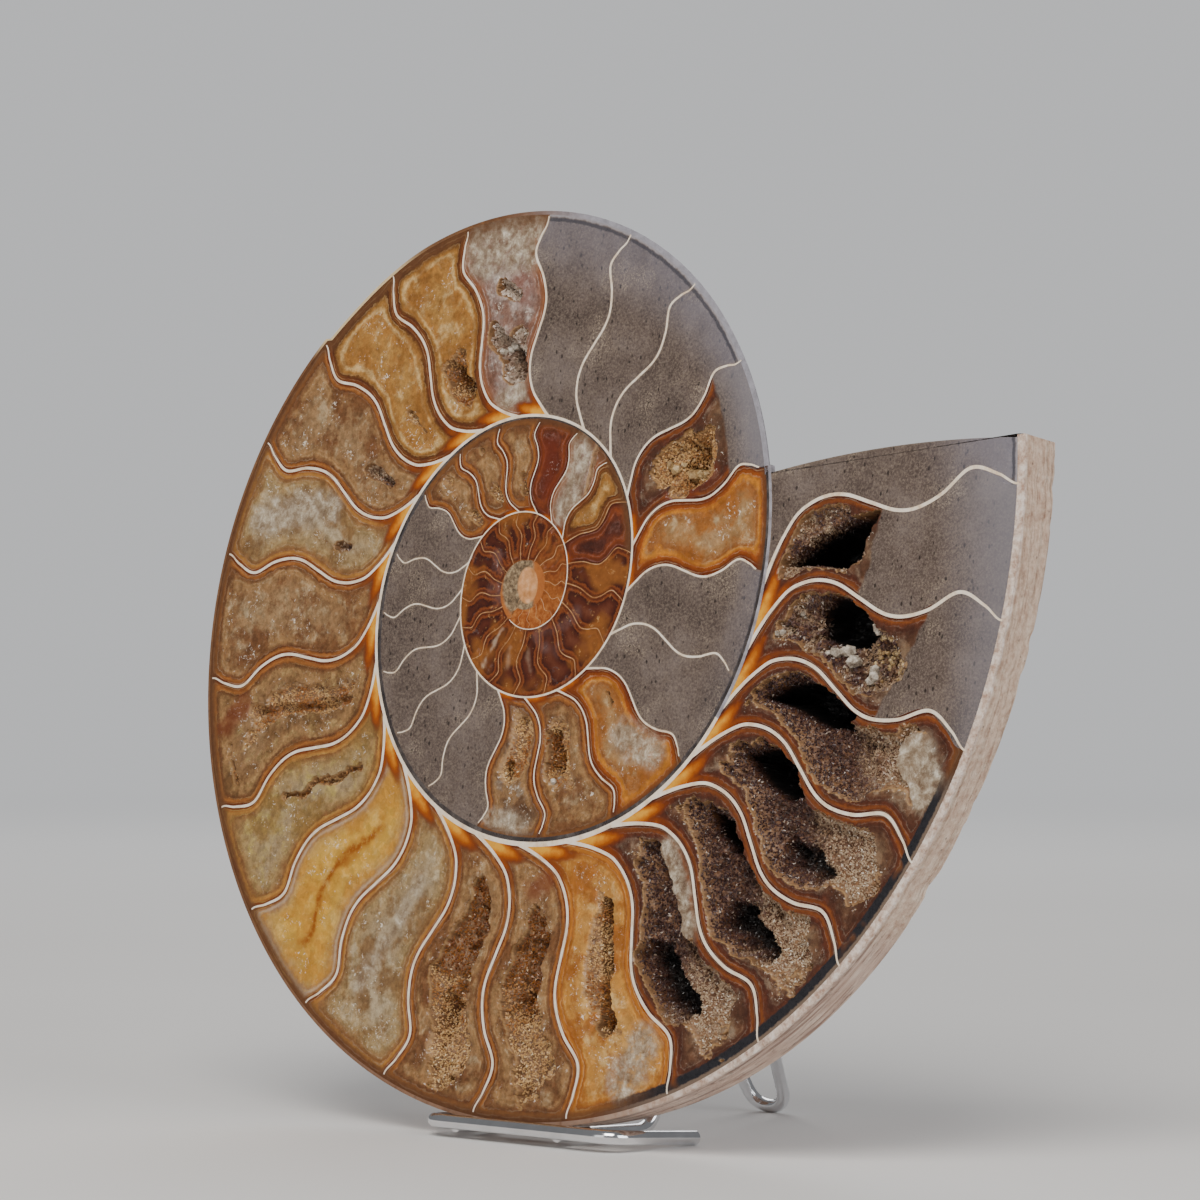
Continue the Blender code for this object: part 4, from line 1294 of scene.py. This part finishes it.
def lump_places(chambers, lumps):
    """Where each lump of a table lies in its hollow, and its size."""
    chance = np.random.default_rng(4)
    points, sizes = [], []
    for front, x, y, size, count, spread in lumps:
        chamber = chambers[front]
        for k in range(count):
            place = np.array([x, y]) + (chance.normal(0.0, spread, 2) if k else 0.0)
            gap = ((chamber.flat - place) ** 2).sum(-1)
            at = np.unravel_index(gap.argmin(), gap.shape)
            if chamber.deep[at] < 0.4 or chamber.dark[at] > 0.3:
                continue
            own = size * (chance.uniform(0.5, 0.9) if k else 1.0)
            points.append([(*chamber.flat[at], max(float(chamber.deep[at]) - 0.3 * own, 0.5 * own))])
            sizes.append([own])
    return points, sizes


def lump_pieces(chambers):
    """White calcite lumps and tan rubble that lie in the hollows."""
    tree = lump_tree()
    for name, lumps, shades in (
        ("white_lumps", WHITE_LUMPS, WHITE_SHADES),
        ("tan_rubble", TAN_LUMPS, TAN_SHADES),
    ):
        places = line_mesh(name, *lump_places(chambers, lumps))
        mesh = grown(name, places, tree, {"Seed": 5, "Finish": lump_finish(name, *shades)})
        finish_piece(name, mesh)


def inner_whorl_piece():
    """The small chambers of the first whorls as one piece of close slabs."""
    work = bmesh.new()
    for front in range(FIRST_INNER_SEPTUM + 1, len(SEPTA) - 1):
        chamber = Chamber(front, INNER_CELL)
        chamber.wobble = rough_field(chamber.flat, 2.0, front * 2.3)
        pale = np.zeros_like(chamber.height)
        if front in INNER_PATCHES:
            points, half_width, soft, strength = INNER_PATCHES[front]
            line = [(SEPTA[front] + angle, height) for angle, height in points]
            pale = chamber.near(line, half_width, soft) * strength
        deep = np.maximum(0.0, chamber.wobble - 0.55) * 0.5
        core = np.full_like(deep, np.clip((-1000.0 - SEPTA[front]) / 150.0, 0, 1))
        values = {"edge": chamber.edge(), "pale": pale, "deep": deep, "core": core}
        work.from_mesh(slab_mesh("inner", chamber.flat, deep, INNER_THICKNESS, values))
    joined = bpy.data.meshes.new("inner_whorls")
    work.to_mesh(joined)
    work.free()
    joined.materials.append(whorl_finish())
    finish_piece("inner_whorls", joined)


def first_chamber_piece():
    """Disc at the centre of the spiral, with the oval first chamber."""
    rows, columns = 33, 96
    angle = CORE_ANGLE - 360.0 * np.arange(columns) / columns
    share = np.linspace(0.0, 1.0, rows + 1)[1:]
    flat = polar(share[:, None] * wall_radius(angle), angle).reshape(-1, 2)
    x, y = flat.T
    oval = smooth_step((1.0 - np.hypot((x - 0.3) / 2.6, (y + 0.1) / 3.5)) / 0.10)
    amber = np.maximum(smooth_step((x - 1.2) / 1.0), smooth_step((np.hypot(x, y) - 5.6) / 0.8))
    count = len(flat)
    front = np.concatenate([flat, np.zeros((count, 1))], 1)
    back = front + (0.0, 0.0, INNER_THICKNESS)
    points = np.concatenate([front, back, [(0.0, 0.0, 0.0), (0.0, 0.0, INNER_THICKNESS)]])
    quads = grid_quads(rows, columns, around=True)
    ring = np.arange(columns)
    after = (ring + 1) % columns
    outer, outer_after = ring + count - columns, after + count - columns
    faces = quads[:, ::-1].tolist() + (quads + count).tolist()
    faces += fan(2 * count, after, ring) + fan(2 * count + 1, ring + count, after + count)
    faces += np.stack([outer, outer_after, outer_after + count, outer + count], -1).tolist()
    mesh = mesh_of("first_chamber", points.tolist(), [], faces)
    for label, values, centre in (("oval", oval, 1.0), ("amber", amber, 0.0)):
        store(mesh, label, np.concatenate([values, values, [centre, centre]]))
    mesh.materials.append(heart_finish())
    finish_piece("first_chamber", mesh, whole=False)


def septum_width(index, heights):
    """Half width of a septum's line in mm: fuller at its foot and finer further in."""
    foot = 1 + 0.3 * np.exp(-heights / 0.03) * (index < FIRST_INNER_SEPTUM)
    size = straight_curve(SEPTUM_WIDTHS, SEPTA[index])
    return size * foot * (1 - 0.45 * smooth_step((heights - 0.8) / 0.2))


def septum_pieces(tree, nacre, tan):
    """Every septum as an inlaid strip: white in the large whorls, tan in the small ones."""
    for name, indices, finish in (
        ("septa", range(FIRST_INNER_SEPTUM), nacre),
        ("inner_septa", range(FIRST_INNER_SEPTUM, len(SEPTA)), tan),
    ):
        lines, widths = [], []
        for index in indices:
            top = 0.975 if index <= LAST_RIM_CHAMBER else 0.93 if index < FIRST_INNER_SEPTUM else 1.0
            heights = np.linspace(0.0, top, 120)
            lines.append(face_point(septum_angle(index, heights), heights))
            widths.append(septum_width(index, heights))
        values = {"Thickness": SEPTUM_THICKNESS, "Proud": 0.02, "Finish": finish}
        finish_piece(name, grown(name, line_mesh(name, lines, widths), tree, values))


def spiral_strip(name, tree, finish, span, widths, proud, outer=None):
    """Inlaid strip along the whorl wall, or just inside the strip that has the outer widths."""
    angle = np.arange(*span, 1.0)
    half, radius = straight_curve(widths, angle), wall_radius(angle)
    if outer:
        radius = radius - (straight_curve(outer, angle) + half - STRIP_OVERLAP)
    values = {"Thickness": WALL_THICKNESS, "Proud": proud, "Finish": finish}
    line = line_mesh(name, [polar(radius, angle)], [half])
    finish_piece(name, grown(name, line, tree, values))


def wall_pieces(tree, nacre):
    """The white wall between the whorls, its grey lining and the pale shell of the lobe beside the mouth."""
    grey = wall_lining_finish()
    shell = septum_finish("lobe_shell", (120, 114, 118), (160, 156, 162), (190, 188, 196))
    spiral_strip("whorl_wall", tree, nacre, WALL_SPAN, WALL_WIDTHS, 0.03)
    spiral_strip("lobe_wall", tree, shell, LOBE_SPAN, WALL_WIDTHS, 0.03)
    spiral_strip("wall_lining", tree, grey, LINING_SPAN, LINING_WIDTHS, 0.01, WALL_WIDTHS)


def back_depth(angle, inset):
    """Depth of the back as a share of the radius."""
    venter = smooth_curve(VENTER_WIDTHS, angle)
    return straight_curve(BACK_PROFILE, inset) + venter * np.exp(-inset / VENTER_FADE)


def flank_relief(angle, radius, inset):
    """How far the ribs and the grooves between the whorls lie below the flank, in mm."""
    wave = 0.5 + 0.5 * np.sin(np.radians(angle + 7.0 * math.sin(inset * 9.0)) * RIBS)
    strength = smooth_step((inset - 0.02) / 0.10) * smooth_step((0.72 - inset) / 0.20)
    whorl, second = (wall_radius(angle - back) / radius for back in (360, 720))
    coil = np.clip((1 - inset - second) / (whorl - second), 0, 1)
    groove = np.where((1 - inset) / whorl < 1, GROOVE_DEPTH * (1 - np.sin(np.pi * coil) ** 0.5), 0.0)
    return wave * strength * RIB_DEPTH + groove * smooth_step((inset - 0.5) / 0.1)


def flank_rows(angle, radius):
    """Radius and depth of the outside, row by row from the rim to the middle of the umbilicus."""
    rows = []
    for inset in FLANK_INSETS:
        depth = back_depth(angle, min(inset, UMBILICUS_INSET)) * radius
        if inset == 0:
            depth = np.zeros_like(angle)
        if inset > UMBILICUS_INSET:
            share = (inset - UMBILICUS_INSET) / (1 - UMBILICUS_INSET)
            depth = depth * (1 - share) + UMBILICUS_DEPTH * share
        depth = depth - np.minimum(flank_relief(angle, radius, inset), depth * 0.3)
        rows.append((radius * (1 - inset), depth))
    return rows


def bowl_rows(angle, radius):
    """Radius and depth of the bowl in front, row by row from the rim inwards."""
    rows = []
    for share in BOWL_SHARES:
        r = (radius - shell_width(angle)) * (1 - share)
        inset = 1 - r / radius
        behind = back_depth(angle, np.clip(inset, BACK_PROFILE[0][0], UMBILICUS_INSET)) * radius
        floor = np.minimum(BOWL_DEPTH, np.maximum(behind - BOWL_WALL, 0.25 * behind))
        if inset.min() > UMBILICUS_INSET:
            floor = np.minimum(floor, UMBILICUS_DEPTH - 1.2)
        rows.append((r, floor if share > 0 else np.zeros_like(r)))
    return rows


def rim_chips(angle, row):
    """How much is chipped off a row of the shell, counted from the rim, in mm."""
    chip = np.zeros_like(angle)
    if 0 <= row <= 8:
        crack = np.array([noise.fractal((a * 0.35, 0.0, 3.0), 1.0, 2.0, 4) for a in angle])
        at_mouth = smooth_step((angle + 42.0) / 6.0) * (1.0 if row > 0 else 0.6)
        chip = (0.25 + 0.9 * np.maximum(crack, 0)) * at_mouth
    if -1 <= row <= 2:
        chip = chip + rim_notch(angle)
    return chip


def shell_piece():
    """Shell of the half: rim, ribbed flank and dished back, with a bowl in front that holds the chambers."""
    angle = np.linspace(START_ANGLE, LAST_ANGLE, SHELL_COLUMNS)
    radius = wall_radius(angle)
    bowl, flank = bowl_rows(angle, radius)[::-1], flank_rows(angle, radius)
    shear = APERTURE_SHEAR * smooth_step((angle - LAST_ANGLE + SHEAR_SPAN) / SHEAR_SPAN)
    points, behind = [], []
    for row, (r, depth) in enumerate(bowl + flank, -len(bowl)):
        r = r - rim_chips(angle, row)
        share = np.clip((radius[-1] - r) / (radius[-1] - radius[0]), 0, 1)
        points.append(np.concatenate([polar(r, angle + shear * share), depth[:, None]], 1))
        behind.append(depth)
    turn = np.tile(angle, len(points))
    dish = np.repeat(np.concatenate([np.zeros(len(bowl)), FLANK_INSETS]), SHELL_COLUMNS)
    total = len(points) * SHELL_COLUMNS
    ring = np.arange(SHELL_COLUMNS)
    after = (ring + 1) % SHELL_COLUMNS
    base = total - SHELL_COLUMNS
    faces = grid_quads(len(points), SHELL_COLUMNS, around=True).tolist()
    faces += fan(total, after, ring) + fan(total + 1, ring + base, after + base)
    points += [[(0.0, 0.0, UMBILICUS_DEPTH - 1.6), (0.0, 0.0, UMBILICUS_DEPTH)]]
    mesh = mesh_of("shell", np.concatenate(points).tolist(), [], faces)
    store(mesh, "mouth", np.arange(len(faces)) % SHELL_COLUMNS == SHELL_COLUMNS - 1, "FACE")
    for label, values, centre in (("turn", turn, -300.0), ("behind", behind, 7.0), ("dish", dish, 1.0)):
        store(mesh, label, np.concatenate([np.ravel(values), [centre, centre]]))
    mesh.materials.append(shell_finish())
    piece = finish_piece("outer_shell", mesh, smooth=38.0, whole=False)
    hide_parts("ammonite_half")


def rounded_path(corners, radius, steps=12):
    """Points of a wire's path, with each inner corner turned on an arc."""
    path = [Vector(corners[0])]
    for a, b, c in zip(corners, corners[1:], corners[2:]):
        a, b, c = Vector(a), Vector(b), Vector(c)
        into, out = (b - a).normalized(), (c - b).normalized()
        half = into.angle(out) / 2
        reach = min(radius * math.tan(half), (b - a).length * 0.49, (c - b).length * 0.49)
        start, end = b - into * reach, b + out * reach
        for k in range(steps + 1):
            f = k / steps
            path.append(start * (1 - f) ** 2 + b * 2 * f * (1 - f) + end * f**2)
    path.append(Vector(corners[-1]))
    return path


def stand_pieces():
    """The two bent wires of the stand."""
    tree, plated = wire_tree(), chrome_finish()
    right = [(EASEL_X + half, y, z) for half, y, z in EASEL_BENDS]
    left = [(EASEL_X - half, y, z) for half, y, z in reversed(EASEL_BENDS)]
    low, high = FOOT_X - FOOT_WIDTH / 2, FOOT_X + FOOT_WIDTH / 2
    foot = [
        (low, FOOT_BACK, FOOT_RADIUS), (low, FOOT_FRONT, FOOT_RAIL_HEIGHT),
        (high, FOOT_FRONT, FOOT_RAIL_HEIGHT), (high, FOOT_BACK, FOOT_RADIUS),
    ]
    for name, corners, radius in (
        ("easel_wire", right + left, EASEL_RADIUS),
        ("front_foot", foot, FOOT_RADIUS),
    ):
        line = line_mesh(name, [rounded_path(corners, BEND_RADIUS)], [1.0])
        bar = grown(name, line, tree, {"Radius": radius - 0.012, "Finish": plated})
        piece = finish_piece(f"{name}_plated", bar, STAND, smooth=50.0)
        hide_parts(name)


def lay_floor():
    """Pale floor under the stand."""
    mesh = mesh_of("floor", [(-9, -9, 0), (9, -9, 0), (9, 9, 0), (-9, 9, 0)], [], [(0, 1, 2, 3)])
    mesh.materials.append(floor_finish())
    floor = bpy.data.objects.new("floor", mesh)
    bpy.context.scene.collection.objects.link(floor)


def hang_lights(centre):
    """Soft lights that face the fossil."""
    for name, place, size, power, colour in LIGHTS:
        lamp = bpy.data.lights.new(name, "AREA")
        lamp.size = size
        lamp.energy = power
        lamp.color = colour
        light = bpy.data.objects.new(name, lamp)
        light.location = place
        light.rotation_euler = (centre - Vector(place)).to_track_quat("-Z", "Y").to_euler()
        bpy.context.scene.collection.objects.link(light)


def light_backdrop():
    """Pale backdrop, brighter for the camera than as a light."""
    world = bpy.data.worlds.new("studio")
    world.use_nodes = True
    nodes, links = world.node_tree.nodes, world.node_tree.links
    background = nodes["Background"]
    background.inputs["Color"].default_value = (*SKY, 1.0)
    path = nodes.new("ShaderNodeLightPath")
    level = nodes.new("ShaderNodeMapRange")
    level.inputs["To Min"].default_value = SOFT_LIGHT
    level.inputs["To Max"].default_value = BACKDROP
    links.new(path.outputs["Is Camera Ray"], level.inputs["Value"])
    links.new(level.outputs[0], background.inputs["Strength"])
    bpy.context.scene.world = world


def set_camera(centre):
    """The camera of the photo."""
    camera = bpy.data.objects.new("camera", bpy.data.cameras.new("camera"))
    camera.data.lens = CAMERA_LENS
    camera.data.sensor_width = CAMERA_SENSOR
    camera.location = centre + Vector(CAMERA_PLACE) * MM
    camera.rotation_euler = Vector(CAMERA_VIEW).to_track_quat("-Z", "Y").to_euler()
    bpy.context.scene.collection.objects.link(camera)
    bpy.context.scene.camera = camera


shell_piece()
lump_pieces(chamber_pieces())
inner_whorl_piece()
first_chamber_piece()
nacre_finish = septum_finish("septum_nacre", (226, 196, 162), (248, 232, 210), (255, 246, 232))
tan_finish = septum_finish("inner_septum", (140, 92, 54), (186, 138, 92), (216, 176, 134))
strip_tree = inlay_tree()
septum_pieces(strip_tree, nacre_finish, tan_finish)
wall_pieces(strip_tree, nacre_finish)
stand_pieces()
lay_floor()
middle = Vector((CENTRE_X, CENTRE_Y, CENTRE_HEIGHT)) * MM
hang_lights(middle)
light_backdrop()
set_camera(middle)
